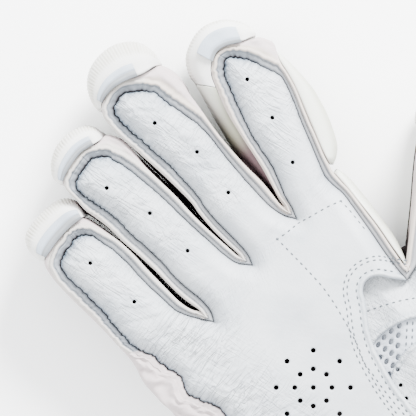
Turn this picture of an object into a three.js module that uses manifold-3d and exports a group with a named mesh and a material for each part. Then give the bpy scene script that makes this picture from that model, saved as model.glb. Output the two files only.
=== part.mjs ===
// Right-hand cricket batting glove, lying palm up on the padding of its back.
// Millimetres. +Z is up, +Y runs along the fingers, +X points to the thumb side.
// The origin is on the surface that the glove lies on, under the foam roll behind the middle finger.
import * as THREE from 'three';
import { mergeVertices } from 'three/addons/utils/BufferGeometryUtils.js';
import Module from 'manifold-3d';

const wasm = await Module();
wasm.setup();

// Driving sizes

const PAD_HEIGHT = 15.5; // foam rolls on the back
const SHELL_WALL = 1.5; // backing that the rolls are sewn to
const WALL = 1.6; // fourchettes and side walls
const LEATHER = 1.3; // palm and thumb leather
const MESH_WALL = 1.1; // spacer mesh at the base of the thumb
const TAB_WALL = 1.1; // binding tape over the end of a finger
const GAP = 0.3; // between sewn pieces
const PAD_SPLIT = 2.4; // between neighbouring foam rolls

const FINGER_ROOM = 16; // inner height of a finger, from backing to seam
const PALM_ROOM = 21; // inner height of the palm, from backing to seam
const ROOM_BLEND = 30; // length over which one becomes the other
const CROWN = 4.5; // how far the leather swells above its seam
const CROWN_REACH = 7; // distance from the seam in which it swells
const CURL = 8; // rise of the longest fingertip
const THUMB_CURL = 5; // rise of the thumb's tip
const FOLD_RISE = 1; // the side walls' fold stands this far above the seam

const CROTCH_Y = 45; // line of the finger roots
const WRIST_Y = -60; // seam between the hand and the cuff
const PALM_X = -14; // middle of the hand
const PALM_HALF = 52; // half the width across the knuckles

const THUMB_ANGLE = 51; // degrees from the fingers' direction
const THUMB_IN = 15.5; // from the web to the middle of the thumb's root
const THUMB_DROP = 2; // the thumb is this much flatter than the palm
const SINK = 4.8; // depth of the thumb's leather under the palm's free edge
const SINK_REACH = 14; // distance from that edge in which it comes up again
const TUCK = 2.2; // leather and mesh lie this far under the piece above

const CUFF_LENGTH = 68;
const CUFF_HALF = 45.5; // half the width at the open end
const CUFF_HEIGHT = 46; // at the open end
const CUFF_WALL = 2.4;
const STRAP_WIDTH = 30;
const STRAP_WALL = 1.8;
const STRAP_FROM_WRIST = 22;

const HOLE_RADIUS = 0.85; // air holes in the palm
const FINGER_HOLE_RADIUS = 0.7;
const HOLE_RING = 7.1; // radius of the inner ring of palm holes

const PALM_LENGTH = CROTCH_Y - WRIST_Y;
const SHELL_TOP = PAD_HEIGHT + GAP + SHELL_WALL;

// One row for each finger. lean and bend shape its axis: x = x + lean t + bend t^2 / length, with t from
// the finger roots. length reaches the leather's tip, half is half the leather's width, lip is what the
// side wall adds at the tip. The cap is a ribbed guard round the tip: capHalf is half its width, capX its
// place beside the tip's middle and capDepth its thickness in front. The finger's foam starts root past the
// finger roots and is extra wider on the left.
const FINGERS = [
  { name: 'little', x: -50.8, lean: -0.014, bend: 0, length: 50, half: 10, lip: 3.5, capHalf: 13.3, capX: 0, capDepth: 12.6, root: -5.6, extra: 0 },
  { name: 'ring', x: -21.8, lean: -0.033, bend: 0, length: 66.5, half: 9.5, lip: 3, capHalf: 13.3, capX: -0.3, capDepth: 11, root: -5.6, extra: 0 },
  { name: 'middle', x: 4.2, lean: 0.034, bend: 0, length: 76, half: 9.5, lip: 3.6, capHalf: 15.4, capX: 1, capDepth: 13.6, root: -5.6, extra: 0 },
  { name: 'index', x: 28, lean: 0.43, bend: -0.183, length: 58.5, half: 9.8, lip: 4.2, capHalf: 16, capX: -0.6, capDepth: 10, root: 4.4, extra: 4.6 },
];
const THUMB = { name: 'thumb', x: 0, lean: 0, bend: 0, length: 66, half: 12, lip: 3.6, capHalf: 17.5, capX: 0, capDepth: 10, root: 9, extra: -1 };

// Finger outlines: at is a share of the finger's length, the rest are shares of its half width.
// seam is the edge of the leather and out the widest line of the side wall.
const OUTLINES = {
  little: [
    { at: 0.1, seamLeft: 1.07, seamRight: 1.04, outLeft: 1.5, outRight: 1.42 },
    { at: 0.3, seamLeft: 1.01, seamRight: 1.01, outLeft: 1.45, outRight: 1.43 },
    { at: 0.55, seamLeft: 0.9, seamRight: 1.02, outLeft: 1.41, outRight: 1.45 },
    { at: 0.75, seamLeft: 0.91, seamRight: 1.05, outLeft: 1.38, outRight: 1.42 },
    { at: 0.9, seamLeft: 0.87, seamRight: 0.97, outLeft: 1.2, outRight: 1.22 },
  ],
  ring: [
    { at: 0.08, seamLeft: 0.95, seamRight: 1.02, outLeft: 1.37, outRight: 1.33 },
    { at: 0.25, seamLeft: 0.96, seamRight: 0.99, outLeft: 1.33, outRight: 1.3 },
    { at: 0.5, seamLeft: 0.9, seamRight: 1, outLeft: 1.27, outRight: 1.38 },
    { at: 0.75, seamLeft: 0.92, seamRight: 0.95, outLeft: 1.32, outRight: 1.4 },
    { at: 0.9, seamLeft: 1.02, seamRight: 0.87, outLeft: 1.27, outRight: 1.24 },
  ],
  middle: [
    { at: 0.07, seamLeft: 1.03, seamRight: 0.92, outLeft: 1.33, outRight: 1.28 },
    { at: 0.25, seamLeft: 1.01, seamRight: 0.93, outLeft: 1.42, outRight: 1.34 },
    { at: 0.5, seamLeft: 0.92, seamRight: 1, outLeft: 1.32, outRight: 1.39 },
    { at: 0.75, seamLeft: 0.98, seamRight: 0.89, outLeft: 1.4, outRight: 1.5 },
    { at: 0.9, seamLeft: 1.08, seamRight: 0.7, outLeft: 1.38, outRight: 1.42 },
  ],
  index: [
    { at: 0.09, seamLeft: 0.96, seamRight: 0.86, outLeft: 1.27, outRight: 1.2 },
    { at: 0.25, seamLeft: 0.98, seamRight: 0.84, outLeft: 1.39, outRight: 1.22 },
    { at: 0.5, seamLeft: 1.05, seamRight: 1.04, outLeft: 1.44, outRight: 1.38 },
    { at: 0.75, seamLeft: 0.92, seamRight: 0.95, outLeft: 1.4, outRight: 1.45 },
    { at: 0.9, seamLeft: 0.66, seamRight: 0.6, outLeft: 1.22, outRight: 1.2 },
  ],
  thumb: [
    { at: 0.08, seamLeft: 1.02, seamRight: 1.02, outLeft: 1.36, outRight: 1.4 },
    { at: 0.4, seamLeft: 0.96, seamRight: 0.98, outLeft: 1.34, outRight: 1.38 },
    { at: 0.7, seamLeft: 1, seamRight: 1, outLeft: 1.38, outRight: 1.4 },
    { at: 0.88, seamLeft: 0.93, seamRight: 0.93, outLeft: 1.34, outRight: 1.34 },
  ],
};
const STATIONS = [0.1, 0.22, 0.36, 0.5, 0.64, 0.78, 0.88];
const TIP_START = 0.88;
const TIP_ANGLES = [24, 52];
const SEAM_POWER = 2.7; // squareness of the leather's tip
const OUT_POWER = 3; // squareness of the side wall's tip
const COLUMNS = 6; // facets across a finger

// Where neighbouring fingers part: depth is how far below the finger roots the gap ends, seam how far below
// that the leather's seam comes to a point, and skew how far to the thumb side that point lies.
const CROTCHES = [
  { depth: 4.2, seam: 5.3, skew: 1.6 },
  { depth: -0.6, seam: 5.1, skew: 0.9 },
  { depth: -1, seam: 5, skew: 0.4 },
];

// Sides of the hand: at is a share of the way from finger roots to wrist, the rest shares of PALM_HALF.
const LEFT_SIDE = [
  { at: 0.09, seam: 0.856, out: 1.044 },
  { at: 0.2, seam: 0.85, out: 1.04 },
  { at: 0.34, seam: 0.8, out: 1 },
  { at: 0.5, seam: 0.79, out: 0.97 },
  { at: 0.75, seam: 0.77, out: 0.94 },
  { at: 1, seam: 0.71, out: 0.84 },
];
const RIGHT_SIDE = [
  { at: 0.04, seam: 0.968, out: 1.02 },
  { at: 0.2, seam: 0.935, out: 0.99 },
  { at: 0.37, seam: 0.868, out: 0.93 },
  { at: 0.476, seam: 0.846, out: 0.9 },
];
const WEB_GAP = { at: 0.44, x: 0.921 }; // where the gap between index and thumb ends
const BACK_SPLIT = 0.42; // at the wrist the thumb's backing starts here, a share of PALM_HALF
const SIDE_ROWS = [0.2, 0.3, 0.4];
const LOWER_ROWS = [0.6, 0.73, 0.87, 1];
const OPENING_ROW_AT = 0.5; // the row that ends on the opening's arch starts here on the left

// Free edge of the palm leather over the thumb's root, from the web down to the wrist.
const OPENING = [
  { at: 0.476, x: 0.846 },
  { at: 0.429, x: 0.775 },
  { at: 0.386, x: 0.712 },
  { at: 0.371, x: 0.635 },
  { at: 0.386, x: 0.567 },
  { at: 0.429, x: 0.51 },
  { at: 0.5, x: 0.4 },
  { at: 0.57, x: 0.325 },
  { at: 0.7, x: 0.25 },
  { at: 0.84, x: 0.212 },
  { at: 1, x: 0.19 },
];

// Seams across the base of the thumb, each a curve through three points. The left end is under the palm
// leather at the row of OPENING that open counts, and the right end is on the seam of the outer side wall,
// which lies side millimetres further out. The others are shares as in the tables above.
const THENAR_ROWS = [
  { open: 10, midAt: 1, midX: 0.46, rightAt: 1, rightX: 0.731, side: 4 },
  { open: 9, midAt: 0.838, midX: 0.558, rightAt: 0.914, rightX: 0.904, side: 5 },
  { open: 8, midAt: 0.662, midX: 0.635, rightAt: 0.838, rightX: 1.019, side: 5 },
  { open: 7, midAt: 0.586, midX: 0.673, rightAt: 0.786, rightX: 1.087, side: 5 },
  { open: 5, midAt: 0.533, midX: 0.817, rightAt: 0.743, rightX: 1.135, side: 4.8 },
  { open: 3, midAt: 0.514, midX: 0.885, rightAt: 0.722, rightX: 1.154, side: 4.8 },
  { open: 1, midAt: 0.543, midX: 0.971, rightAt: 0.703, rightX: 1.169, side: 4.8 },
  { open: 0, midAt: 0.581, midX: 1.019, rightAt: 0.686, rightX: 1.183, side: 4.8 },
];
const MESH_FROM = 2; // the mesh spans the rows from here to the next

// Shape helpers

const palmX = (share) => PALM_X + PALM_HALF * share;
const palmY = (at) => CROTCH_Y - PALM_LENGTH * at;
const mix = (a, b, share) => a + (b - a) * share;
const vec = (x, y, z = 0) => new THREE.Vector3(x, y, z);

// Smooth value of one column of a table at a share of its length.
function along(rows, column, at) {
  const last = rows.length - 1;
  const place = THREE.MathUtils.clamp(at, rows[0].at, rows[last].at);
  let k = 0;
  while (k < last - 1 && place > rows[k + 1].at) k += 1;
  const share = (place - rows[k].at) / (rows[k + 1].at - rows[k].at);
  const slope = (i) => {
    const a = rows[Math.max(0, i - 1)];
    const b = rows[Math.min(last, i + 1)];
    return ((b[column] - a[column]) / (b.at - a.at)) * (rows[k + 1].at - rows[k].at);
  };
  const p = rows[k][column];
  const q = rows[k + 1][column];
  const s2 = share * share;
  const s3 = s2 * share;
  return (2 * s3 - 3 * s2 + 1) * p + (s3 - 2 * s2 + share) * slope(k)
    + (3 * s2 - 2 * s3) * q + (s3 - s2) * slope(k + 1);
}

const LONGEST = Math.max(...FINGERS.map((finger) => finger.length));
const rise = (y) => CURL * (Math.max(0, y - CROTCH_Y) / LONGEST) ** 2;
const thumbRise = (t) => THUMB_CURL * (Math.max(0, t) / THUMB.length) ** 2;

// Height of the leather's seam in the hand, above the fingers' curl.
function room(y) {
  return mix(FINGER_ROOM, PALM_ROOM, THREE.MathUtils.smoothstep(CROTCH_Y - y, 0, ROOM_BLEND));
}

// Places in the thumb's own frame: across the thumb and along it from its root.
const WEB = { x: palmX(RIGHT_SIDE.at(-1).seam), y: palmY(RIGHT_SIDE.at(-1).at) };
const thumbTurn = THREE.MathUtils.degToRad(THUMB_ANGLE);
const thumbAlong = vec(Math.sin(thumbTurn), Math.cos(thumbTurn));
const thumbAcross = vec(Math.cos(thumbTurn), -Math.sin(thumbTurn));
const thumbRoot = vec(WEB.x, WEB.y).addScaledVector(thumbAcross, THUMB_IN);

for (const finger of FINGERS) {
  finger.lift = (t) => rise(CROTCH_Y + t);
  finger.place = (x, t, z) => vec(x, CROTCH_Y + t, z + finger.lift(t));
  finger.room = FINGER_ROOM;
}
THUMB.lift = thumbRise;
THUMB.room = PALM_ROOM - THUMB_DROP;
THUMB.place = (x, t, z) => vec(0, 0, z + thumbRise(t)).add(thumbRoot)
  .addScaledVector(thumbAlong, t).addScaledVector(thumbAcross, x);

const axisAt = (finger, t) => finger.x + finger.lean * t + (finger.bend * t * t) / finger.length;

// Left and right line of a finger at a distance t from its root. kind is seam or out.
function outline(finger, kind, t) {
  const start = TIP_START * finger.length;
  const at = Math.min(t, start) / finger.length;
  const axis = axisAt(finger, t);
  const left = axis - finger.half * along(OUTLINES[finger.name], `${kind}Left`, at);
  const right = axis + finger.half * along(OUTLINES[finger.name], `${kind}Right`, at);
  const power = kind === 'seam' ? SEAM_POWER : OUT_POWER;
  const depth = finger.length - start + (kind === 'seam' ? 0 : finger.lip);
  const past = THREE.MathUtils.clamp((t - start) / depth, 0, 1);
  const squash = (1 - past ** power) ** (1 / power);
  const middle = (left + right) / 2;
  return { left: mix(middle, left, squash), right: mix(middle, right, squash), depth, start, power };
}

// Rows of flat points up a finger. The last row follows the round tip.
function fingerRows(finger, kind, columns) {
  const rows = STATIONS.map((at) => ({ t: at * finger.length }));
  const { depth, start, power } = outline(finger, kind, 0);
  for (const angle of TIP_ANGLES) {
    rows.push({ t: start + depth * Math.sin(THREE.MathUtils.degToRad(angle)) ** (2 / power) });
  }
  return rows.map(({ t }, r) => {
    const { left, right } = outline(finger, kind, t);
    const row = [];
    for (let c = 0; c <= columns; c += 1) {
      const share = (2 * c) / columns - 1;
      const half = Math.cos(THREE.MathUtils.degToRad(TIP_ANGLES.at(-1))) ** (2 / power) * Math.abs(share);
      const arc = start + depth * (1 - half ** power) ** (1 / power);
      row.push({ x: mix(left, right, c / columns), t: r === rows.length - 1 ? arc : t });
    }
    return row;
  });
}

// Solids

function makeGeometry(points, triangles) {
  const geometry = new THREE.BufferGeometry();
  geometry.setAttribute('position', new THREE.Float32BufferAttribute(points.flatMap((p) => [p.x, p.y, p.z]), 3));
  geometry.setIndex(triangles.flat());
  geometry.computeVertexNormals();
  return geometry;
}

// A wall under a surface of quads. The surface is the outer side.
function sheet({ points, quads }, wall) {
  const normals = points.map(() => vec(0, 0, 0));
  for (const quad of quads) {
    const [a, b, c, d] = quad.map((k) => points[k]);
    const normal = c.clone().sub(a).cross(d.clone().sub(b));
    quad.forEach((k) => normals[k].add(normal));
  }
  const inner = points.map((p, k) => p.clone().addScaledVector(normals[k].normalize(), -wall));
  const count = points.length;
  const triangles = [];
  const rim = new Map();
  for (const [a, b, c, d] of quads) {
    triangles.push([a, b, c], [a, c, d]);
    triangles.push([a + count, c + count, b + count], [a + count, d + count, c + count]);
    for (const [from, to] of [[a, b], [b, c], [c, d], [d, a]]) {
      if (!rim.delete(`${to},${from}`)) rim.set(`${from},${to}`, [from, to]);
    }
  }
  for (const [from, to] of rim.values()) {
    triangles.push([to, from, from + count], [to, from + count, to + count]);
  }
  return makeGeometry([...points, ...inner], triangles);
}

// A surface from equal rows of points.
function gridSurface(rows, closed = false) {
  const width = rows[0].length;
  const quads = [];
  for (let r = 0; r + 1 < rows.length; r += 1) {
    for (let c = 0; c < (closed ? width : width - 1); c += 1) {
      const next = (c + 1) % width;
      quads.push([r * width + c, r * width + next, (r + 1) * width + next, (r + 1) * width + c]);
    }
  }
  return { points: rows.flat(), quads };
}

// A solid through rings of points, closed at both ends.
function loft(rings) {
  const size = rings[0].length;
  const points = rings.flat();
  const triangles = [];
  for (let r = 0; r + 1 < rings.length; r += 1) {
    for (let k = 0; k < size; k += 1) {
      const a = r * size + k;
      const b = r * size + ((k + 1) % size);
      triangles.push([a, b, b + size], [a, b + size, a + size]);
    }
  }
  const base = (rings.length - 1) * size;
  for (let k = 1; k + 1 < size; k += 1) {
    triangles.push([0, k + 1, k], [base, base + k, base + k + 1]);
  }
  const volume = triangles.reduce((sum, [a, b, c]) => (
    sum + points[a].dot(points[b].clone().cross(points[c]))), 0);
  return makeGeometry(points, volume > 0 ? triangles : triangles.map(([a, b, c]) => [a, c, b]));
}

function toManifold(geometry) {
  const bare = geometry.clone();
  bare.deleteAttribute('normal');
  bare.deleteAttribute('uv');
  const merged = mergeVertices(bare, 1e-4);
  return new wasm.Manifold(new wasm.Mesh({
    numProp: 3,
    vertProperties: new Float32Array(merged.attributes.position.array),
    triVerts: new Uint32Array(merged.index.array),
  }));
}

function fromManifold(solid) {
  const mesh = solid.getMesh();
  const geometry = new THREE.BufferGeometry();
  geometry.setAttribute('position', new THREE.BufferAttribute(new Float32Array(mesh.vertProperties), 3));
  geometry.setIndex(new THREE.BufferAttribute(new Uint32Array(mesh.triVerts), 1));
  geometry.computeVertexNormals();
  return geometry;
}

// Punches upright holes through a sheet.
function punch(geometry, holes) {
  const tools = holes.map(({ x, y, radius, stretch = 1, turn = 0, sides = 8 }) => {
    const tool = new THREE.CylinderGeometry(radius, radius, 80, sides);
    tool.rotateX(Math.PI / 2);
    tool.scale(stretch, 1, 1);
    tool.rotateZ(turn);
    tool.translate(x, y, SHELL_TOP + 50);
    return toManifold(tool);
  });
  return fromManifold(tools.reduce((solid, tool) => solid.subtract(tool), toManifold(geometry)));
}

// Outline of the hand

function crotchPoint(k, kind) {
  const left = FINGERS[k];
  const right = FINGERS[k + 1];
  const x = (outline(left, 'out', 0).right + outline(right, 'out', 0).left) / 2;
  const y = CROTCH_Y - CROTCHES[k].depth - (kind === 'seam' ? CROTCHES[k].seam : 0);
  return { x: x + (kind === 'seam' ? CROTCHES[k].skew : 0), y };
}
const leftPoint = (at, kind) => ({ x: palmX(-along(LEFT_SIDE, kind, at)), y: palmY(at) });
const rightPoint = (at, kind) => ({ x: palmX(along(RIGHT_SIDE, kind, at)), y: palmY(at) });

// Outer boundary of the hand from the little finger's side of the wrist to the thumb's web.
function handEdge(kind) {
  const path = [];
  const tips = [];
  const raise = ({ x, y }) => ({ x, y, lift: rise(y), room: room(y) });
  for (const at of [...LOWER_ROWS].reverse()) path.push(raise(leftPoint(at, kind)));
  path.push(raise(leftPoint(OPENING_ROW_AT, kind)));
  for (const at of [...SIDE_ROWS].reverse()) path.push(raise(leftPoint(at, kind)));
  path.push(raise(leftPoint(LEFT_SIDE[0].at, kind)));
  FINGERS.forEach((finger, k) => {
    const rows = fingerRows(finger, kind, COLUMNS);
    const top = rows.at(-1);
    const up = rows.slice(0, -1).map((row) => row[0]);
    const down = rows.slice(0, -1).map((row) => row.at(-1)).reverse();
    [...up, ...top, ...down].forEach((p, i) => {
      if (i === up.length + COLUMNS / 2) tips.push(path.length);
      path.push(raise({ x: p.x, y: CROTCH_Y + p.t }));
    });
    if (k < CROTCHES.length) path.push(raise(crotchPoint(k, kind)));
  });
  for (const { at } of RIGHT_SIDE.slice(0, -1)) path.push(raise(rightPoint(at, kind)));
  const web = kind === 'seam' ? rightPoint(RIGHT_SIDE.at(-1).at, kind) : { x: palmX(WEB_GAP.x), y: palmY(WEB_GAP.at) };
  path.push(raise(web));
  return { path, tips };
}

const SEAM_EDGE = handEdge('seam');
const OUT_EDGE = handEdge('out');

// Boundary of the thumb: outer side from the wrist to the tip, and inner side from the tip to the web.
function thumbEdge(kind) {
  const rows = fingerRows(THUMB, kind, COLUMNS);
  const lifted = (p) => {
    const place = THUMB.place(p.x, p.t, 0);
    return { x: place.x, y: place.y, lift: place.z, room: THUMB.room };
  };
  const outer = THENAR_ROWS.map((row, k) => {
    const ahead = THENAR_ROWS[Math.min(k + 1, THENAR_ROWS.length - 1)];
    const behind = THENAR_ROWS[Math.max(k - 1, 0)];
    const run = vec(palmX(ahead.rightX) - palmX(behind.rightX), palmY(ahead.rightAt) - palmY(behind.rightAt));
    const away = vec(run.y, -run.x).normalize().multiplyScalar(kind === 'seam' ? 0 : row.side);
    const y = k === 0 ? 0 : away.y;
    const share = k / THENAR_ROWS.length;
    return { x: palmX(row.rightX) + away.x, y: palmY(row.rightAt) + y, lift: 0, room: mix(PALM_ROOM, THUMB.room, share) };
  });
  const top = rows.at(-1).map(lifted);
  const right = rows.slice(0, -1).map((row) => lifted(row.at(-1)));
  const left = rows.slice(0, -1).map((row) => lifted(row[0]));
  const half = COLUMNS / 2;
  return {
    outer: [...outer, ...right, ...top.slice(half).reverse()],
    inner: [...top.slice(0, half + 1).reverse(), ...left.reverse()],
  };
}

const SEAM_THUMB = thumbEdge('seam');
const OUT_THUMB = thumbEdge('out');

// Distance from a flat point to the nearest seam.
const SEAM_LINES = [SEAM_EDGE.path, SEAM_THUMB.outer, SEAM_THUMB.inner];
function distanceTo(paths, x, y) {
  let nearest = Infinity;
  const line = new THREE.Line3();
  const spot = vec(x, y);
  const foot = vec(0, 0);
  for (const path of paths) {
    for (let k = 0; k + 1 < path.length; k += 1) {
      line.set(vec(path[k].x, path[k].y), vec(path[k + 1].x, path[k + 1].y));
      nearest = Math.min(nearest, line.closestPointToPoint(spot, true, foot).distanceTo(spot));
    }
  }
  return nearest;
}
function crown(x, y) {
  const share = Math.min(1, distanceTo(SEAM_LINES, x, y) / CROWN_REACH);
  return CROWN * (1 - (1 - share) ** 2);
}

// The thumb's leather sinks under the palm's free edge.
const OPENING_LINE = OPENING.map(({ at, x }) => ({ x: palmX(x), y: palmY(at) }));
function sink(x, y) {
  return SINK * (1 - THREE.MathUtils.smoothstep(distanceTo([OPENING_LINE], x, y), TUCK, SINK_REACH));
}

// Pieces

// A strip of side wall over a stretch of seam: it folds over the seam, swells and stands on the backing.
function wallStrip(seam, out, from, to) {
  const rows = [];
  for (let k = from; k <= to; k += 1) {
    const a = seam[k];
    const b = out[k];
    const low = SHELL_TOP + GAP + b.lift;
    const high = SHELL_TOP + a.room + a.lift;
    const point = (share, z) => vec(mix(a.x, b.x, share), mix(a.y, b.y, share), z);
    const width = Math.hypot(b.x - a.x, b.y - a.y);
    rows.push([
      point(1 - 0.3 / width, low),
      point(1, mix(low, high, 0.45)),
      point(0.78, high - 0.8),
      point(0.42, high + FOLD_RISE),
      point(GAP / width, high),
    ]);
  }
  const trim = (row, other) => row.map((p, k) => {
    const step = other[k].clone().sub(p);
    return p.clone().addScaledVector(step.normalize(), GAP / 2);
  });
  const count = rows.length;
  const first = trim(rows[0], rows[1]);
  const last = trim(rows[count - 1], rows[count - 2]);
  return sheet(gridSurface([first, ...rows.slice(1, -1), last]), WALL);
}

const meshes = [];
function add(name, geometry, color, roughness = 0.7) {
  const mesh = new THREE.Mesh(geometry, new THREE.MeshStandardMaterial({ color, roughness, metalness: 0 }));
  mesh.name = name;
  meshes.push(mesh);
}

const WHITE_LEATHER = 0xdfe4ea;
const FABRIC = 0xeae4df;
const CREAM = 0xf1efe6;
const PAD_COVER = 0xe4e6dc;
const TAPE = 0xc9d0da;
const MESH_COLOR = 0xd5dae0;

// Surface of the palm with its four finger fronts, as one sheet.
function palmSurface() {
  const points = [];
  const quads = [];
  const total = FINGERS.length * COLUMNS;
  const keep = (x, y) => points.push(vec(x, y, SHELL_TOP + room(y) + rise(y) + crown(x, y))) - 1;
  const ends = [leftPoint(LEFT_SIDE[0].at, 'seam'), crotchPoint(0, 'seam'), crotchPoint(1, 'seam'),
    crotchPoint(2, 'seam'), rightPoint(RIGHT_SIDE[0].at, 'seam')];
  const root = [];
  for (let c = 0; c <= total; c += 1) {
    const k = Math.min(FINGERS.length - 1, Math.floor(c / COLUMNS));
    const share = c / COLUMNS - k;
    root.push({ x: mix(ends[k].x, ends[k + 1].x, share), y: mix(ends[k].y, ends[k + 1].y, share) });
  }
  const arch = OPENING.slice(0, COLUMNS + 1).reverse();
  const start = leftPoint(OPENING_ROW_AT, 'seam');
  const bottom = root.map((_, c) => {
    if (c > total - COLUMNS) {
      const spot = arch[c - (total - COLUMNS)];
      return { x: palmX(spot.x), y: palmY(spot.at) };
    }
    const share = c / (total - COLUMNS);
    return { x: mix(start.x, palmX(arch[0].x), share), y: mix(start.y, palmY(arch[0].at), share) };
  });
  const rows = [root];
  for (const at of SIDE_ROWS) {
    const share = (palmY(at) - root[0].y) / (bottom[0].y - root[0].y);
    const row = root.map((p, c) => ({ x: mix(p.x, bottom[c].x, share), y: mix(p.y, bottom[c].y, share) }));
    row[0] = leftPoint(at, 'seam');
    const right = CROTCH_Y - row[total].y;
    row[total] = rightPoint(right / PALM_LENGTH, 'seam');
    rows.push(row);
  }
  rows.push(bottom);
  const upper = rows.map((row) => row.map((p) => keep(p.x, p.y)));
  const join = (above, below) => {
    for (let c = 0; c + 1 < below.length; c += 1) quads.push([below[c], below[c + 1], above[c + 1], above[c]]);
  };
  for (let r = 0; r + 1 < upper.length; r += 1) join(upper[r], upper[r + 1]);
  let above = upper.at(-1).slice(0, total - COLUMNS + 1);
  const free = OPENING.slice(COLUMNS - 1).map(({ at, x }) => ({ at, x }));
  for (const at of LOWER_ROWS) {
    const left = leftPoint(at, 'seam');
    const right = { x: palmX(along(free, 'x', at)), y: palmY(at) };
    const below = above.map((_, c) => {
      const share = c / (above.length - 1);
      return keep(mix(left.x, right.x, share), mix(left.y, right.y, share));
    });
    join(above, below);
    above = below;
  }
  FINGERS.forEach((finger, k) => {
    let below = upper[0].slice(k * COLUMNS, (k + 1) * COLUMNS + 1);
    for (const row of fingerRows(finger, 'seam', COLUMNS)) {
      const next = row.map((p) => keep(p.x, CROTCH_Y + p.t));
      join(next, below);
      below = next;
    }
  });
  return { points, quads };
}

// Air holes: two rings round one hole in the palm, and a few along each finger.
const HOLE_CENTRE = { x: -0.19, at: 0.507 };
const FINGER_HOLES = {
  little: [{ at: 0.35, shift: 0.2 }, { at: 0.79, shift: 0.1 }],
  ring: [{ at: 0.26, shift: 0.14 }, { at: 0.56, shift: 0.21 }],
  middle: [{ at: 0.286, shift: 0.07 }, { at: 0.54, shift: 0.26 }, { at: 0.79, shift: -0.18 }],
  index: [{ at: 0.21, shift: -0.17 }, { at: 0.51, shift: -0.06 }, { at: 0.8, shift: -0.08 }],
};
function airHoles() {
  const centre = { x: palmX(HOLE_CENTRE.x), y: palmY(HOLE_CENTRE.at) };
  const holes = [{ ...centre, radius: HOLE_RADIUS }];
  for (const ring of [1, 2]) {
    for (let k = 0; k < 8; k += 1) {
      const turn = ((k + ring / 2) * Math.PI) / 4;
      const reach = HOLE_RING * ring * 0.99;
      holes.push({ x: centre.x + reach * Math.cos(turn), y: centre.y + reach * Math.sin(turn), radius: HOLE_RADIUS });
    }
  }
  for (const finger of FINGERS) {
    for (const { at, shift } of FINGER_HOLES[finger.name]) {
      const t = at * finger.length;
      holes.push({ x: axisAt(finger, t) + shift * finger.half, y: CROTCH_Y + t, radius: FINGER_HOLE_RADIUS });
    }
  }
  return holes;
}
add('palm_leather', punch(sheet(palmSurface(), LEATHER), airHoles()), WHITE_LEATHER);

// Side walls and fourchettes, each from one fingertip to the next.
const STRIPS = ['side_wall_little', 'fourchette_little_ring', 'fourchette_ring_middle', 'fourchette_middle_index'];
STRIPS.forEach((name, k) => {
  const from = k === 0 ? 0 : SEAM_EDGE.tips[k - 1];
  add(name, wallStrip(SEAM_EDGE.path, OUT_EDGE.path, from, SEAM_EDGE.tips[k]), FABRIC);
});
const lastTip = SEAM_EDGE.tips.at(-1);
const webSeam = [...SEAM_EDGE.path.slice(lastTip), ...[...SEAM_THUMB.inner].reverse()];
const webOut = [...OUT_EDGE.path.slice(lastTip), ...[...OUT_THUMB.inner].reverse()];
add('fourchette_index_thumb', wallStrip(webSeam, webOut, 0, webSeam.length - 1), FABRIC);
const outerSeam = [...SEAM_THUMB.outer].reverse();
add('side_wall_thumb', wallStrip(outerSeam, [...OUT_THUMB.outer].reverse(), 0, outerSeam.length - 1), FABRIC);

// Leather and mesh at the base of the thumb. They tuck under the palm leather's free edge.
function tuckedEnd(open) {
  const spot = (k) => vec(palmX(OPENING[k].x), palmY(OPENING[k].at));
  if (open === 0) return spot(0).add(vec(6 * GAP, -6 * GAP));
  const run = spot(Math.min(open + 1, OPENING.length - 1)).sub(spot(open - 1)).normalize();
  const under = spot(open).add(vec(run.y, -run.x).multiplyScalar(TUCK));
  return open === OPENING.length - 1 ? under.setY(WRIST_Y) : under;
}
function thenarRow(row, roomAt) {
  const points = [];
  const end = tuckedEnd(row.open);
  for (let c = 0; c <= COLUMNS; c += 1) {
    const s = c / COLUMNS;
    const left = 2 * s * s - 3 * s + 1;
    const middle = 4 * s - 4 * s * s;
    const right = 2 * s * s - s;
    const x = left * end.x + middle * palmX(row.midX) + right * palmX(row.rightX);
    const y = left * end.y + middle * palmY(row.midAt) + right * palmY(row.rightAt);
    points.push(vec(x, y, SHELL_TOP + mix(PALM_ROOM, roomAt, s) + crown(x, y) - sink(x, y)));
  }
  return points;
}
const thenarRooms = THENAR_ROWS.map((_, k) => mix(PALM_ROOM, THUMB.room, k / THENAR_ROWS.length));
const thenar = THENAR_ROWS.map((row, k) => thenarRow(row, thenarRooms[k]));
const upwards = (rows) => gridSurface(rows.map((row) => [...row].reverse()).reverse());
const shifted = (row, other, distance, drop) => row.map((p, k) => {
  const step = other[k].clone().sub(p);
  const length = Math.hypot(step.x, step.y);
  return p.clone().addScaledVector(step, distance / length).add(vec(0, 0, -drop));
});
const thumbFront = fingerRows(THUMB, 'seam', COLUMNS).map((row) => row.map((p) => {
  const place = THUMB.place(p.x, p.t, 0);
  return vec(place.x, place.y, SHELL_TOP + THUMB.room + crown(place.x, place.y) + place.z);
}));
add('thumb_leather', sheet(upwards([...thenar.slice(MESH_FROM + 1), ...thumbFront]), LEATHER), WHITE_LEATHER);

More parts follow.
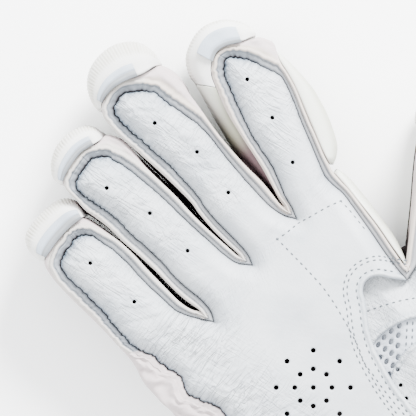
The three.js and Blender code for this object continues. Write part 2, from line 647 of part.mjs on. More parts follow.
const MESH_EDGE_DROP = LEATHER + 2 * GAP;
const meshLow = shifted(thenar[MESH_FROM], thenar[MESH_FROM - 1], TUCK, MESH_EDGE_DROP);
const meshHigh = shifted(thenar[MESH_FROM + 1], thenar[MESH_FROM + 2], TUCK, MESH_EDGE_DROP);
const meshMiddle = meshLow.map((p, k) => p.clone().lerp(meshHigh[k], 0.5));
const MESH_PITCH = 4; // between the oval gaps of the mesh
const MESH_GAP = { radius: 0.8, stretch: 1.55 };
function meshGaps() {
  const holes = [];
  const a = thenar[MESH_FROM];
  const b = thenar[MESH_FROM + 1];
  for (let row = 0; row < 2; row += 1) {
    for (let k = 0; k + 1 < COLUMNS * 2; k += 1) {
      const at = Math.min(COLUMNS - 0.001, (k + 0.9 + row * 0.5) / 2);
      const low = a[Math.floor(at)].clone().lerp(a[Math.floor(at) + 1], at % 1);
      const high = b[Math.floor(at)].clone().lerp(b[Math.floor(at) + 1], at % 1);
      const spot = low.lerp(high, row === 0 ? 0.3 : 0.68);
      holes.push({ x: spot.x, y: spot.y, ...MESH_GAP, turn: 0.35, sides: 6 });
    }
  }
  return holes;
}
add('thumb_mesh', punch(sheet(upwards([meshLow, meshMiddle, meshHigh]), MESH_WALL), meshGaps()), MESH_COLOR);

const THENAR_HOLES = [{ across: 0.16, along: 0.9 }, { across: 0.1, along: 0.66 }, { across: 0.06, along: 0.38 }];
const thenarHoles = THENAR_HOLES.map(({ across, along: share }) => {
  const at = across * COLUMNS;
  const low = thenar[MESH_FROM - 1][Math.floor(at)].clone().lerp(thenar[MESH_FROM - 1][Math.floor(at) + 1], at % 1);
  const high = thenar[MESH_FROM][Math.floor(at)].clone().lerp(thenar[MESH_FROM][Math.floor(at) + 1], at % 1);
  const spot = low.lerp(high, share);
  return { x: spot.x, y: spot.y, radius: FINGER_HOLE_RADIUS };
});
add('thenar_leather', punch(sheet(upwards(thenar.slice(0, MESH_FROM + 1)), LEATHER), thenarHoles), WHITE_LEATHER);

// Backing of the hand and of the thumb, which the rolls are sewn to.
const BACK_COLUMNS = 2;
function handBacking() {
  const points = [];
  const quads = [];
  const keep = (x, y) => points.push(vec(x, y, SHELL_TOP + rise(y))) - 1;
  const ends = [leftPoint(LEFT_SIDE[0].at, 'out'), crotchPoint(0, 'out'), crotchPoint(1, 'out'),
    crotchPoint(2, 'out'), rightPoint(RIGHT_SIDE[0].at, 'out')];
  const total = FINGERS.length * BACK_COLUMNS;
  const root = [];
  for (let c = 0; c <= total; c += 1) {
    const k = Math.min(FINGERS.length - 1, Math.floor(c / BACK_COLUMNS));
    const share = c / BACK_COLUMNS - k;
    root.push(keep(mix(ends[k].x, ends[k + 1].x, share), mix(ends[k].y, ends[k + 1].y, share)));
  }
  const join = (above, below) => {
    for (let c = 0; c + 1 < below.length; c += 1) quads.push([below[c], below[c + 1], above[c + 1], above[c]]);
  };
  let above = root;
  for (const at of [SIDE_ROWS[0], SIDE_ROWS[1], WEB_GAP.at, LOWER_ROWS[1], 1]) {
    const left = leftPoint(at, 'out');
    const lower = (at - WEB_GAP.at) / (1 - WEB_GAP.at);
    const right = lower < 0 ? rightPoint(at, 'out') : { x: palmX(mix(WEB_GAP.x, BACK_SPLIT, lower)), y: palmY(at) };
    const below = above.map((_, c) => keep(mix(left.x, right.x, c / total), mix(left.y, right.y, c / total)));
    join(above, below);
    above = below;
  }
  FINGERS.forEach((finger, k) => {
    let below = root.slice(k * BACK_COLUMNS, (k + 1) * BACK_COLUMNS + 1);
    for (const row of fingerRows(finger, 'out', BACK_COLUMNS)) {
      const next = row.map((p) => keep(p.x, CROTCH_Y + p.t));
      join(next, below);
      below = next;
    }
  });
  return { points, quads };
}
add('hand_backing', sheet(handBacking(), SHELL_WALL), PAD_COVER);

function thumbBacking() {
  const rows = THENAR_ROWS.map((_, k) => {
    const share = k / (THENAR_ROWS.length - 1);
    const left = vec(palmX(mix(BACK_SPLIT, WEB_GAP.x, share)) + 2 * GAP, palmY(mix(1, WEB_GAP.at, share)));
    const right = vec(OUT_THUMB.outer[k].x, OUT_THUMB.outer[k].y);
    return [left, left.clone().lerp(right, 0.5), right].map((p) => p.setZ(SHELL_TOP));
  });
  const front = fingerRows(THUMB, 'out', BACK_COLUMNS).map((row) => row.map((p) => THUMB.place(p.x, p.t, SHELL_TOP)));
  return upwards([...rows, ...front]);
}
add('thumb_backing', sheet(thumbBacking(), SHELL_WALL), PAD_COVER);

// Foam rolls. A section is a table of shares: across the roll and up it.
const ROLL_SECTION = [[0.2, 0], [0.8, 0], [0.97, 0.2], [1, 0.55], [0.94, 1], [0.06, 1], [0, 0.55], [0.03, 0.2]];
const ROLL_ENDS = [{ at: 0, size: 0.8 }, { at: 0.12, size: 1 }, { at: 0.88, size: 1 }, { at: 1, size: 0.8 }];
const PAD_INSET = 0.7;
function grown(finger, t) {
  const share = t / finger.length;
  const swell = THREE.MathUtils.smoothstep(share, 0.1, 0.45) - 0.55 * THREE.MathUtils.smoothstep(share, 0.7, TIP_START);
  return finger.extra * swell;
}
function fingerRoll(finger, from, to) {
  return loft(ROLL_ENDS.map(({ at, size }) => {
    const t = mix(from, to, at);
    const { left, right } = outline(finger, 'out', t);
    const low = left - grown(finger, t) + PAD_INSET;
    const high = right - PAD_INSET;
    return ROLL_SECTION.map(([across, up]) => {
      const x = mix(low, high, 0.5 + (across - 0.5) * mix(1, size, 0.3));
      return finger.place(x, t, PAD_HEIGHT * (1 - (1 - up) * size));
    });
  }));
}
const FINGER_SPLITS = [0, 0.36, 0.68, 1];
const SEGMENTS = ['base', 'middle', 'tip'];
for (const finger of [...FINGERS, THUMB]) {
  const front = outline(finger, 'out', 0);
  const end = front.start + front.depth * 0.8;
  SEGMENTS.forEach((segment, k) => {
    const from = mix(finger.root, end, FINGER_SPLITS[k]) + PAD_SPLIT / 2;
    const to = mix(finger.root, end, FINGER_SPLITS[k + 1]) - PAD_SPLIT / 2;
    add(`roll_${finger.name}_${segment}`, fingerRoll(finger, from, to), PAD_COVER, 0.5);
  });
}

// Rolls on the back of the hand, one behind each finger, drawn together towards the wrist.
const HAND_ROLL_END = 6; // from the wrist seam
const WRIST_LEFT = -0.81; // outer edges of the rolls at the wrist, shares of PALM_HALF
const WRIST_RIGHT = 0.72;
const HAND_ROLL_STATIONS = [{ at: 0, size: 0.75 }, { at: 0.05, size: 1 }, { at: 0.5, size: 1 }, { at: 0.95, size: 1 },
  { at: 1, size: 0.75 }];
FINGERS.forEach((finger, k) => {
  const top = CROTCH_Y + finger.root - PAD_SPLIT / 2;
  const head = outline(finger, 'out', finger.root);
  const low = WRIST_Y + HAND_ROLL_END;
  const rings = HAND_ROLL_STATIONS.map(({ at, size }) => {
    const left = mix(palmX(mix(WRIST_LEFT, WRIST_RIGHT, k / FINGERS.length)) + PAD_SPLIT / 2, head.left + PAD_INSET, at);
    const right = mix(palmX(mix(WRIST_LEFT, WRIST_RIGHT, (k + 1) / FINGERS.length)) - PAD_SPLIT / 2, head.right - PAD_INSET, at);
    return ROLL_SECTION.map(([across, up]) => vec(mix(left, right, across), mix(low, top, at),
      up === 0 && size === 1 ? 0 : PAD_HEIGHT * (1 - (1 - up) * size)));
  });
  add(`roll_hand_${finger.name}`, loft(rings), PAD_COVER, 0.5);
});

// Roll behind the ball of the thumb: distances along and across the thumb from its root.
const THENAR_ROLL = [
  { t: -21, left: 8.5, right: 15.5, size: 0.8 },
  { t: -18.5, left: 7, right: 16, size: 1 },
  { t: -2, left: -8, right: 15.5, size: 1 },
  { t: THUMB.root - PAD_SPLIT, left: -9, right: 15.5, size: 0.8 },
];
add('roll_thenar', loft(THENAR_ROLL.map(({ t, left, right, size }) => ROLL_SECTION.map(([across, up]) => (
  THUMB.place(mix(left, right, across), t, PAD_HEIGHT * (1 - (1 - up) * size)))))), PAD_COVER, 0.5);

// Ribbed guards round the fingertips. The section's shares run outwards and up.
const CAP_SECTION = [[0, 0], [0.78, 0], [1, 0.2], [1, 0.72], [0.72, 0.95], [0.4, 1], [0, 1]];
const CAP_ANGLES = [0, 20, 42, 66, 90, 114, 138, 160, 180];
const CAP_POWER = 2.5;
const CAP_SINK = 1.6; // its top lies this far below the leather's seam
const CAP_FLOOR = 1; // and its foot this far above the foam's foot
function capPoint(finger, angle, share) {
  const { left, right, depth, start } = outline(finger, 'out', TIP_START * finger.length);
  const widest = left - grown(finger, start);
  const side = Math.cos(THREE.MathUtils.degToRad(angle));
  const front = Math.sin(THREE.MathUtils.degToRad(angle));
  const ring = (middle, half, reach, power) => {
    const t = start + reach * front ** (2 / power);
    const lean = axisAt(finger, Math.min(t, start + depth)) - axisAt(finger, start);
    return { x: middle + lean - Math.sign(side) * half * Math.abs(side) ** (2 / power), t };
  };
  const inner = ring((widest + right) / 2, (right - widest) / 2 + 2 * GAP, depth + 2 * GAP, OUT_POWER);
  const outer = ring((left + right) / 2 + finger.capX, finger.capHalf, depth + finger.capDepth, CAP_POWER);
  return { x: mix(inner.x, outer.x, share), t: mix(inner.t, outer.t, share) };
}
for (const finger of [...FINGERS, THUMB]) {
  const height = SHELL_TOP + finger.room - CAP_SINK - CAP_FLOOR;
  const rings = CAP_ANGLES.map((angle) => CAP_SECTION.map(([out, up]) => {
    const spot = capPoint(finger, angle, out);
    return finger.place(spot.x, spot.t, CAP_FLOOR + up * height);
  }));
  add(`cap_${finger.name}`, loft(rings), CREAM, 0.8);
  const tab = [0.03, 0.37].map((share) => [34, 52, 70, 90, 110, 128, 146].map((angle) => {
    const spot = capPoint(finger, angle, share);
    return finger.place(spot.x, spot.t, CAP_FLOOR + height + GAP + TAB_WALL);
  }));
  add(`tab_${finger.name}`, sheet(gridSurface(tab), TAB_WALL), TAPE);
}

// Foam along the outer side of the index finger and of the hand below it.
const SIDE_SECTION = [[0, 0], [0.7, 0], [1, 0.25], [1, 0.65], [0.6, 0.94], [0, 1]];
const SIDE_FOOT = 7;
const SIDE_SINK = 4.5;
function sideRoll(spots) {
  return loft(spots.map((spot, k) => {
    const ahead = spots[Math.min(k + 1, spots.length - 1)];
    const behind = spots[Math.max(k - 1, 0)];
    const away = vec(ahead.y - behind.y, behind.x - ahead.x).normalize();
    const top = SHELL_TOP + room(spot.y) + rise(spot.y) - SIDE_SINK;
    const foot = SIDE_FOOT + rise(spot.y);
    return SIDE_SECTION.map(([out, up]) => vec(spot.x, spot.y, mix(foot, top, up))
      .addScaledVector(away, 3 * GAP + out * spot.thick));
  }));
}
const INDEX_SIDE = [
  { at: 0.1, thick: 3.5 },
  { at: 0.2, thick: 7 },
  { at: 0.36, thick: 7.8 },
  { at: 0.5, thick: 6.4 },
  { at: 0.64, thick: 5 },
  { at: 0.74, thick: 4.6 },
  { at: 0.79, thick: 3 },
];
const index = FINGERS.at(-1);
add('side_roll_index', sideRoll(INDEX_SIDE.map(({ at, thick }) => (
  { x: outline(index, 'out', at * index.length).right, y: CROTCH_Y + at * index.length, thick }))), PAD_COVER, 0.5);
const HAND_SIDE = [
  { at: 0.39, thick: 1.4 },
  { at: 0.34, thick: 3 },
  { at: 0.2, thick: 4 },
  { at: 0.08, thick: 3.6 },
  { at: 0.035, thick: 2 },
];
add('side_roll_hand', sideRoll(HAND_SIDE.map(({ at, thick }) => ({ ...rightPoint(at, 'out'), thick }))), PAD_COVER, 0.5);

// Wrist cuff, an open tube that widens towards the arm, and the strap round it.
const CUFF_POWER = 2.6;
const CUFF_POINTS = 24;
const CUFF_ROWS = [0, 0.2, 0.5, 0.8, 1];
const wristLeft = palmX(-LEFT_SIDE.at(-1).out);
const wristRight = palmX(THENAR_ROWS[0].rightX) + THENAR_ROWS[0].side;
const WRIST_TOP = SHELL_TOP + PALM_ROOM + CROWN;
function cuffRing(at, grow, from = 0, to = CUFF_POINTS) {
  const eased = THREE.MathUtils.smoothstep(at, 0, 1);
  const middle = vec((wristLeft + wristRight) / 2, WRIST_Y - GAP - CUFF_LENGTH * at,
    mix((PAD_HEIGHT + WRIST_TOP) / 2, CUFF_HEIGHT / 2, eased));
  const half = mix((wristRight - wristLeft) / 2, CUFF_HALF, eased) + grow;
  const tall = mix((WRIST_TOP - PAD_HEIGHT) / 2, CUFF_HEIGHT / 2, eased) + grow;
  const ring = [];
  for (let k = from; k < to; k += 1) {
    const angle = (2 * Math.PI * k) / CUFF_POINTS;
    const across = Math.sign(Math.cos(angle)) * Math.abs(Math.cos(angle)) ** (2 / CUFF_POWER);
    const up = Math.sign(Math.sin(angle)) * Math.abs(Math.sin(angle)) ** (2 / CUFF_POWER);
    ring.push(middle.clone().add(vec(half * across, 0, tall * up)));
  }
  return ring;
}
add('cuff', sheet(gridSurface(CUFF_ROWS.map((at) => cuffRing(at, 0)), true), CUFF_WALL), PAD_COVER);

// Fastening strap: it runs round the upper half of the cuff, so the cuff still lies flat.
const STRAP_FROM = -1;
const STRAP_TO = 14;
const strapRows = [0, 0.5, 1].map((share) => {
  const at = (STRAP_FROM_WRIST + STRAP_WIDTH * share) / CUFF_LENGTH;
  return cuffRing(at, GAP + STRAP_WALL, STRAP_FROM, STRAP_TO);
});
add('cuff_strap', sheet(gridSurface(strapRows), STRAP_WALL), FABRIC);

const glove = new THREE.Group();
glove.name = 'cricket_batting_glove';
glove.add(...meshes);

export default glove;
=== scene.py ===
"""Right-hand cricket batting glove, lying palm up on the padding of its back.

Sizes are in millimetres and are made metres when a mesh is built. +Y runs along the fingers, +X points to
the thumb side and +Z is up. The outlines follow the same shares and lengths as the glove's solids.
"""

import math

import bmesh
import bpy
import numpy as np
from bpy.props import FloatProperty, FloatVectorProperty, PointerProperty
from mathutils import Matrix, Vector, geometry, kdtree


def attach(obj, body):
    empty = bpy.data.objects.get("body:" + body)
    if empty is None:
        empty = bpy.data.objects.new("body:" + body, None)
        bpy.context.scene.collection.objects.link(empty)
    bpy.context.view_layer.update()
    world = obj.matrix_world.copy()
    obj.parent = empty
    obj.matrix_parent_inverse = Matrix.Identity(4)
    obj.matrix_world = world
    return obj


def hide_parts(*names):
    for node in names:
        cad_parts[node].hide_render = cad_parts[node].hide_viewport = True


bl_info = {
    "name": "Cricket batting glove",
    "version": (1, 0, 0),
    "blender": (4, 5, 0),
    "location": "View3D > Sidebar > Glove",
    "description": "Leather, gussets, fingertip guards and foam rolls of a cricket batting glove",
    "category": "Add Mesh",
}

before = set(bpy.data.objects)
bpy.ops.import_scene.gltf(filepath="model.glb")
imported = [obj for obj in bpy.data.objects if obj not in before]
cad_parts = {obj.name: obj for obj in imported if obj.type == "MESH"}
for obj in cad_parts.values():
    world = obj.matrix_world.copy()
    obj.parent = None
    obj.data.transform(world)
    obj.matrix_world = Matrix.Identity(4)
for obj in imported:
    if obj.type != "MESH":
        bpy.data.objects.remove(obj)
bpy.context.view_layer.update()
MM = 0.001

# Sizes of the glove

PAD_HEIGHT = 15.5
SHELL_WALL = 1.5
WALL = 1.2
LEATHER = 1.3
MESH_WALL = 1.1
TAB_WALL = 1.1
GAP = 0.3
FINGER_ROOM = 16
PALM_ROOM = 21
ROOM_BLEND = 30
CROWN_REACH = 7
CURL = 8
THUMB_CURL = 5
CROTCH_Y = 45
WRIST_Y = -60
PALM_X = -14
PALM_HALF = 52
THUMB_ANGLE = 51
THUMB_IN = 15.5
THUMB_DROP = 2
SINK = 3.9
SINK_REACH = 14
TUCK = 2.2
CUFF_LENGTH = 68
CUFF_HALF = 45.5
CUFF_HEIGHT = 46
CUFF_WALL = 2.4
STRAP_WIDTH = 30
STRAP_WALL = 1.8
STRAP_FROM_WRIST = 22
PALM_LENGTH = CROTCH_Y - WRIST_Y
SHELL_TOP = PAD_HEIGHT + GAP + SHELL_WALL

HAND_FINGERS = ["little", "ring", "middle", "index"]
MIDDLE_LENGTH = 76

# Thumb: its length, half width, side wall's lip at the tip, and guard. Columns of its outline:
# share of the length, then shares of the half width for the leather's edge on the left and right, and for
# the widest line of the side wall on the left and right.
THUMB = dict(length=66, half=12, lip=3.6, cap_half=17.5, cap_depth=10)
THUMB_OUTLINE = [(0.08, 1.02, 1.02, 1.36, 1.4), (0.4, 0.96, 0.98, 1.34, 1.38), (0.7, 1, 1, 1.38, 1.4),
                 (0.88, 0.93, 0.93, 1.34, 1.34)]
TIP_START = 0.88
SEAM_POWER = 2.7
OUT_POWER = 3

# The seam between leather and side walls, from the little finger's side of the wrist round each finger.
# Columns: the leather's edge, x and y, the widest line of the side wall, x and y, how much the edge is
# gathered and how near it is to a fingertip.
PALM_SIDE = [
    (-50.9, -60, -57.7, -60, 0.6, 0), (-52.5, -47, -60.6, -47, 0.7, 0), (-54, -34, -62.9, -34, 0.8, 0),
    (-54.8, -20, -64, -20, 0.9, 0), (-55.1, -7.5, -64.8, -7.5, 1, 0), (-55.2, 1, -65.5, 0, 1, 0),
    (-55, 7, -66, 6, 1, 0), (-54.8, 10.5, -66.3, 11, 1, 0), (-55.7, 14, -66.9, 15.5, 1, 0),
    (-57.2, 17.5, -67.6, 19.5, 1, 0), (-58.7, 21, -68, 23, 1, 0), (-59.5, 24, -68.3, 26, 1, 0),
    (-58.4, 26.5, -68.6, 29, 1, 0), (-57.1, 29.5, -68.7, 32, 1, 0), (-57.3, 33, -68.4, 35.5, 1, 0),
]
FINGER_EDGES = {
    "little": [
        (-58.4, 36.5, -67.8, 39, 1, 0), (-58.4, 40, -66.9, 43, 1, 0), (-58.9, 43, -66.3, 46, 1, 0),
        (-60, 46, -65.9, 49, 1, 0), (-61.3, 50, -65.7, 53, 1, 0), (-61.7, 53, -65.6, 56, 1, 0),
        (-61.1, 57, -65.4, 60, 0.9, 0), (-61, 62, -65.3, 65, 0.9, 0), (-60.1, 70, -65.3, 72, 0.9, 0),
        (-60.2, 80, -65.4, 81, 0.8, 0), (-60.3, 87.5, -65, 90, 0.8, 0.2),
        (-59.5, 91, -63.9, 95.5, 0.9, 0.6), (-58, 93, -62, 98.1, 0.9, 0.9),
        (-55.5, 94.2, -58.3, 99.1, 1, 1), (-52, 94.8, -53, 99.9, 1, 1), (-48, 95.4, -48, 100.2, 1, 1),
        (-45, 94.2, -43.5, 99.9, 0.9, 1), (-43, 92, -40, 98.9, 0.7, 0.7), (-42, 88, -38.3, 92.5, 0.5, 0.2),
        (-41.2, 83.5, -37.3, 86, 0.3, 0), (-40.8, 80, -36.7, 81, 0.3, 0), (-40.6, 75, -36.6, 75, 0.3, 0),
        (-41.1, 69, -36.9, 68.5, 0.2, 0), (-41.2, 63, -37, 62, 0.2, 0), (-40.8, 56, -37.1, 55.5, 0.2, 0),
        (-40.6, 50, -37, 50.5, 0.2, 0), (-39.3, 46, -36.3, 46.5, 0.1, 0),
        (-37.4, 42.3, -35.2, 43.3, 0.1, 0),
    ],
    "ring": [
        (-31, 39.6, -33.9, 43, 0.1, 0), (-30.5, 45, -34.5, 46.5, 0.2, 0), (-31, 50, -35.1, 51, 0.2, 0),
        (-31.5, 57, -35.3, 57.5, 0.2, 0), (-31, 65, -35.2, 65.5, 0.3, 0), (-31.2, 73, -35.5, 73.5, 0.3, 0),
        (-31.5, 81, -36, 81.5, 0.4, 0), (-31.6, 90, -36.1, 90, 0.6, 0), (-32.3, 95, -36.9, 95.5, 0.8, 0),
        (-33, 100, -37.6, 100.5, 0.9, 0.1), (-33.7, 104, -37.3, 105.5, 1, 0.3),
        (-34, 107.8, -37.2, 110, 1, 0.7), (-33, 109.8, -36.2, 113.8, 1, 0.9),
        (-30.8, 110.9, -32.7, 115.5, 1, 1), (-27.5, 111.8, -28.3, 116.6, 1, 1),
        (-24, 112.3, -24, 117.1, 1, 1), (-21, 111.7, -20, 116.5, 1, 1), (-18.6, 110, -16, 115.2, 0.9, 0.9),
        (-17.2, 108, -11.8, 115.2, 0.8, 0.5), (-16.4, 105.8, -9.6, 112, 0.6, 0.2),
        (-15.6, 102.8, -8.7, 107, 0.5, 0), (-15, 99.6, -8.9, 102, 0.4, 0), (-14.5, 95, -9.6, 96.5, 0.3, 0),
        (-14, 89, -9.7, 90, 0.3, 0), (-13.5, 80, -9.5, 80.5, 0.2, 0), (-13.3, 70, -9.9, 70, 0.2, 0),
        (-12.8, 60, -9.7, 60.5, 0.1, 0), (-12.3, 51, -9.2, 52, 0.1, 0), (-11, 45.2, -9, 47.6, 0.1, 0),
    ],
    "middle": [
        (-5.7, 44.8, -8.1, 47.3, 0.1, 0), (-5.2, 51, -8.5, 52.5, 0.1, 0), (-5.2, 60, -8.6, 61, 0.1, 0),
        (-4.7, 68, -7.9, 69, 0.2, 0), (-3.5, 74, -7.1, 74, 0.3, 0), (-2.9, 82, -7, 82, 0.4, 0),
        (-2.9, 90, -7.2, 90, 0.6, 0), (-3.3, 99, -7.7, 99.5, 0.8, 0), (-3.8, 107, -8.2, 107.5, 0.9, 0.1),
        (-3.9, 113, -8.3, 114, 1, 0.4), (-3.3, 118, -7.8, 120, 1, 0.8), (-1.8, 120.2, -5.4, 123.9, 1, 1),
        (0.8, 121.1, -1, 125.4, 1, 1), (3.5, 121.3, 3.5, 125.5, 1, 1), (6, 120.2, 8, 124.4, 1, 1),
        (8.4, 118.1, 12.8, 122.1, 1, 0.9), (10.6, 115.9, 17.5, 120.7, 0.9, 0.7),
        (12.2, 113.2, 21.8, 119, 0.9, 0.4), (13, 109.8, 23, 114.3, 0.8, 0.2),
        (13.6, 105.8, 22.7, 109, 0.7, 0), (14.4, 100.5, 21.7, 103, 0.5, 0), (15.4, 95, 20.6, 96.3, 0.4, 0),
        (15.8, 88, 19.2, 88.7, 0.3, 0), (14.8, 80, 18.2, 80.3, 0.2, 0), (13.8, 70, 17.6, 70, 0.2, 0),
        (13.2, 60, 17.6, 60, 0.1, 0), (13.1, 52, 16.8, 52.5, 0.1, 0), (14.5, 45.5, 16.3, 48.5, 0.1, 0),
    ],
    "index": [
        (18.9, 45.6, 17.6, 48.3, 0.1, 0), (20, 50, 18, 52, 0.2, 0), (22, 55, 19.2, 56.5, 0.3, 0),
        (24, 60, 20.7, 61.5, 0.4, 0), (25.5, 65, 21.9, 66.3, 0.4, 0), (26.3, 70, 22.9, 71, 0.4, 0),
        (27.5, 75, 23.9, 76, 0.5, 0), (29, 80, 25, 81, 0.5, 0), (30.8, 85, 26.2, 86.3, 0.6, 0),
        (32.5, 90, 27.8, 91.5, 0.7, 0), (34.5, 95, 29.8, 96.8, 0.8, 0.2),
        (36.7, 99.6, 32.4, 102.3, 0.9, 0.6), (38.5, 102, 35.2, 105.4, 1, 0.9),
        (41, 102.9, 39.5, 107.8, 1, 1), (43, 102.2, 44, 107.4, 1, 1), (44.8, 100.3, 48.2, 105, 1, 1),
        (46.4, 97.8, 52.3, 102.6, 0.9, 0.7), (47.7, 94.8, 56, 101, 0.8, 0.3),
        (48.4, 92, 57.2, 96.6, 0.6, 0.1), (49.6, 89, 56.6, 91.5, 0.5, 0), (50.7, 86.2, 54.7, 87.5, 0.4, 0),
        (51.1, 83.5, 53.9, 84, 0.3, 0), (50.3, 80, 52.9, 80, 0.2, 0), (48.8, 76, 51.4, 75.5, 0.2, 0),
        (46.4, 70.6, 49, 69.9, 0.2, 0), (44, 65, 46.7, 64.2, 0.1, 0), (42, 60, 44.8, 59.2, 0.1, 0),
        (40, 55, 42.9, 54.4, 0.1, 0), (38.2, 50.6, 41.3, 50.2, 0.1, 0), (36.8, 47, 40.2, 46.3, 0.2, 0),
    ],
}
CROTCHES = [
    (-33, 35.5, -34.2, 40.8, 0.1, 0), (-7.4, 40.5, -8.5, 45.6, 0.1, 0), (17, 41, 16.6, 46, 0.1, 0),
]
INDEX_SIDE = [
    (36, 43.8, 39.4, 43.5, 0.3, 0), (36, 40, 39.1, 39.5, 0.2, 0), (36.3, 35.5, 38.9, 35, 0.1, 0),
    (35.5, 30, 38.2, 29.5, 0.1, 0), (34.6, 25, 37.5, 24.5, 0, 0), (33.7, 20, 36.8, 19.3, 0, 0),
    (32.8, 15, 35.9, 14.2, 0, 0), (31.8, 10, 34.9, 9.2, 0, 0), (31, 5, 34, 4.2, 0, 0),
    (30.4, 0, 33.2, -0.5, 0, 0),
]

# Fingertip guards and side pads: their inner and their outer line, x and y of each.
GUARD_LINES = {
    "little": [
        (-62.3, 97.9, -63.8, 98.5), (-61.2, 98.6, -63.7, 105), (-58.8, 99.2, -61, 109.3),
        (-55, 99.9, -56.2, 110.8), (-51, 100.3, -51.7, 111.2), (-47, 100.4, -46.7, 111),
        (-43.5, 100.1, -42.1, 109.9), (-40.9, 99.6, -39, 106.6), (-39.2, 98.9, -37.9, 102),
    ],
    "ring": [
        (-36.8, 113.2, -37.7, 113.6), (-35.6, 114.4, -37.2, 118.2), (-33, 115.6, -33.6, 122.5),
        (-29, 116.6, -28.4, 125), (-24, 117.3, -23.2, 125.5), (-20, 116.7, -18.6, 124.7),
        (-17, 115.8, -15, 122.8), (-14.4, 115.3, -12.8, 119.7), (-12.2, 115.6, -11.5, 117),
    ],
    "middle": [
        (-6.4, 122.9, -7.4, 123.4), (-4.7, 124.5, -5.8, 129.3), (-1.8, 125.5, -2.8, 133.8),
        (2.3, 125.8, 2, 136.9), (6.3, 125.1, 8, 137.9), (10.2, 123.7, 14, 137), (14, 121.9, 19, 134),
        (17, 121.1, 22.1, 130), (19.5, 120.6, 23.4, 125.5), (22, 119.4, 23.6, 121),
    ],
    "index": [
        (30.4, 98.3, 26.5, 104.3), (32.2, 102.4, 28, 109.6), (35.1, 105.6, 31.7, 114.6),
        (39.5, 108, 38, 117.4), (43.9, 107.6, 44, 117.7), (47.6, 105.6, 50, 115.1),
        (50.6, 103.6, 54.1, 110.6), (53, 102.8, 56, 106.6), (55.6, 101.8, 57.2, 102.6),
    ],
}
PAD_LINES = {
    "side_roll_index": [
        (56, 90.8, 57.2, 91.8), (54.8, 87.6, 57.7, 88), (54, 84, 57.9, 84), (52.6, 78.7, 57.8, 77.3),
        (50.9, 74, 57.2, 71.4), (49, 69.2, 56, 66.8), (46.8, 63.8, 54.4, 61.5), (44.9, 58.9, 52, 56),
        (43, 54.2, 48.8, 50.2), (41.7, 50.2, 45.6, 47.3), (40.9, 47.3, 42.2, 45.6),
    ],
    "side_roll_hand": [
        (39.7, 43.3, 42, 43.4), (39.3, 40.5, 42.6, 39.7), (39, 36.5, 42.7, 36), (38.4, 31, 42.1, 30),
        (37.7, 24.4, 41.3, 23), (36.7, 17, 40.2, 16), (35.3, 9.4, 38.9, 9), (34.3, 3, 36.9, 3),
        (33.6, -1.6, 34.4, -2.2),
    ],
    "index_back": [
        (30.5, 98.5, 26.1, 104.9), (28.6, 93.2, 23, 94), (26.9, 88, 21.4, 88), (25.5, 82.6, 20, 82.4),
        (24.3, 77.3, 18.8, 77), (23.2, 72, 18.3, 71.5), (22, 66.2, 18.3, 65.5), (20.6, 60.6, 18.2, 60),
        (19.2, 55.8, 17.8, 55),
    ],
}
FINGER_HOLES = [(4.5, 105), (8.1, 86), (5.6, 66.7), (-25.8, 100.5), (-21, 82.2), (-21, 62), (-50.4, 84.8),
                (-49, 62.6), (41, 92), (37.5, 75), (31, 57.5)]

WEB_SHARE = (0.476, 0.846)
WRIST_SIDE = 0.84
WEB_GAP = dict(at=0.44, x=0.921)
BACK_SPLIT = 0.42

# Free edge of the palm leather over the thumb's root, from the web down to the wrist: at and x.
OPENING = [(0.476, 0.846), (0.429, 0.775), (0.386, 0.712), (0.371, 0.635), (0.386, 0.567), (0.429, 0.51),
           (0.5, 0.4), (0.57, 0.325), (0.7, 0.25), (0.84, 0.212), (1, 0.19)]
# Seams across the base of the thumb, each through a left end under the palm leather, a middle and a right
# end on the outer seam, with the width of the side wall there.
THENAR_ROWS = [
    dict(open=10, mid=(1, 0.46), right=(1, 0.731), side=4),
    dict(open=9, mid=(0.838, 0.558), right=(0.914, 0.904), side=5),
    dict(open=8, mid=(0.662, 0.635), right=(0.838, 1.019), side=5),
    dict(open=7, mid=(0.586, 0.673), right=(0.786, 1.087), side=5),
    dict(open=5, mid=(0.533, 0.817), right=(0.743, 1.135), side=4.8),
    dict(open=3, mid=(0.514, 0.885), right=(0.722, 1.154), side=4.8),
    dict(open=1, mid=(0.543, 0.971), right=(0.703, 1.169), side=4.8),
    dict(open=0, mid=(0.581, 1.019), right=(0.686, 1.183), side=4.8),
]
MESH_FROM = 2
MESH_TO = 33.0
MESH_GAP = 2.2
MESH_BACK = 0.7
# Area of the mesh over that of its pierced front layer. It stands in for the back layer and was set
# by trial, not by measuring: twice the flat outline would be the true area of the two layers.
MESH_AREA = 1.8


# Shape helpers

def mix(a, b, share):
    return a + (b - a) * share


def smooth(value, low, high):
    share = np.clip((value - low) / (high - low), 0, 1)
    return share * share * (3 - 2 * share)


def along(rows, column, at):
    """Smooth value of one column of a table at a share of its length."""
    table = np.array(rows, float)
    knots = table[:, 0]
    values = table[:, column]
    slopes = np.empty(len(knots))
    slopes[1:-1] = (values[2:] - values[:-2]) / (knots[2:] - knots[:-2])
    slopes[0] = (values[1] - values[0]) / (knots[1] - knots[0])
    slopes[-1] = (values[-1] - values[-2]) / (knots[-1] - knots[-2])
    at = np.clip(at, knots[0], knots[-1])
    k = np.clip(np.searchsorted(knots, at, side="left") - 1, 0, len(knots) - 2)
    span = knots[k + 1] - knots[k]
    s = (at - knots[k]) / span
    s2 = s * s
    s3 = s2 * s
    return ((2 * s3 - 3 * s2 + 1) * values[k] + (s3 - 2 * s2 + s) * slopes[k] * span
            + (3 * s2 - 2 * s3) * values[k + 1] + (s3 - s2) * slopes[k + 1] * span)


def palm_x(share):
    return PALM_X + PALM_HALF * share


def palm_y(at):
    return CROTCH_Y - PALM_LENGTH * at


def rise(y):
    return CURL * (np.maximum(0, y - CROTCH_Y) / MIDDLE_LENGTH) ** 2


def room(y):
    return mix(FINGER_ROOM, PALM_ROOM, smooth(CROTCH_Y - y, 0, ROOM_BLEND))


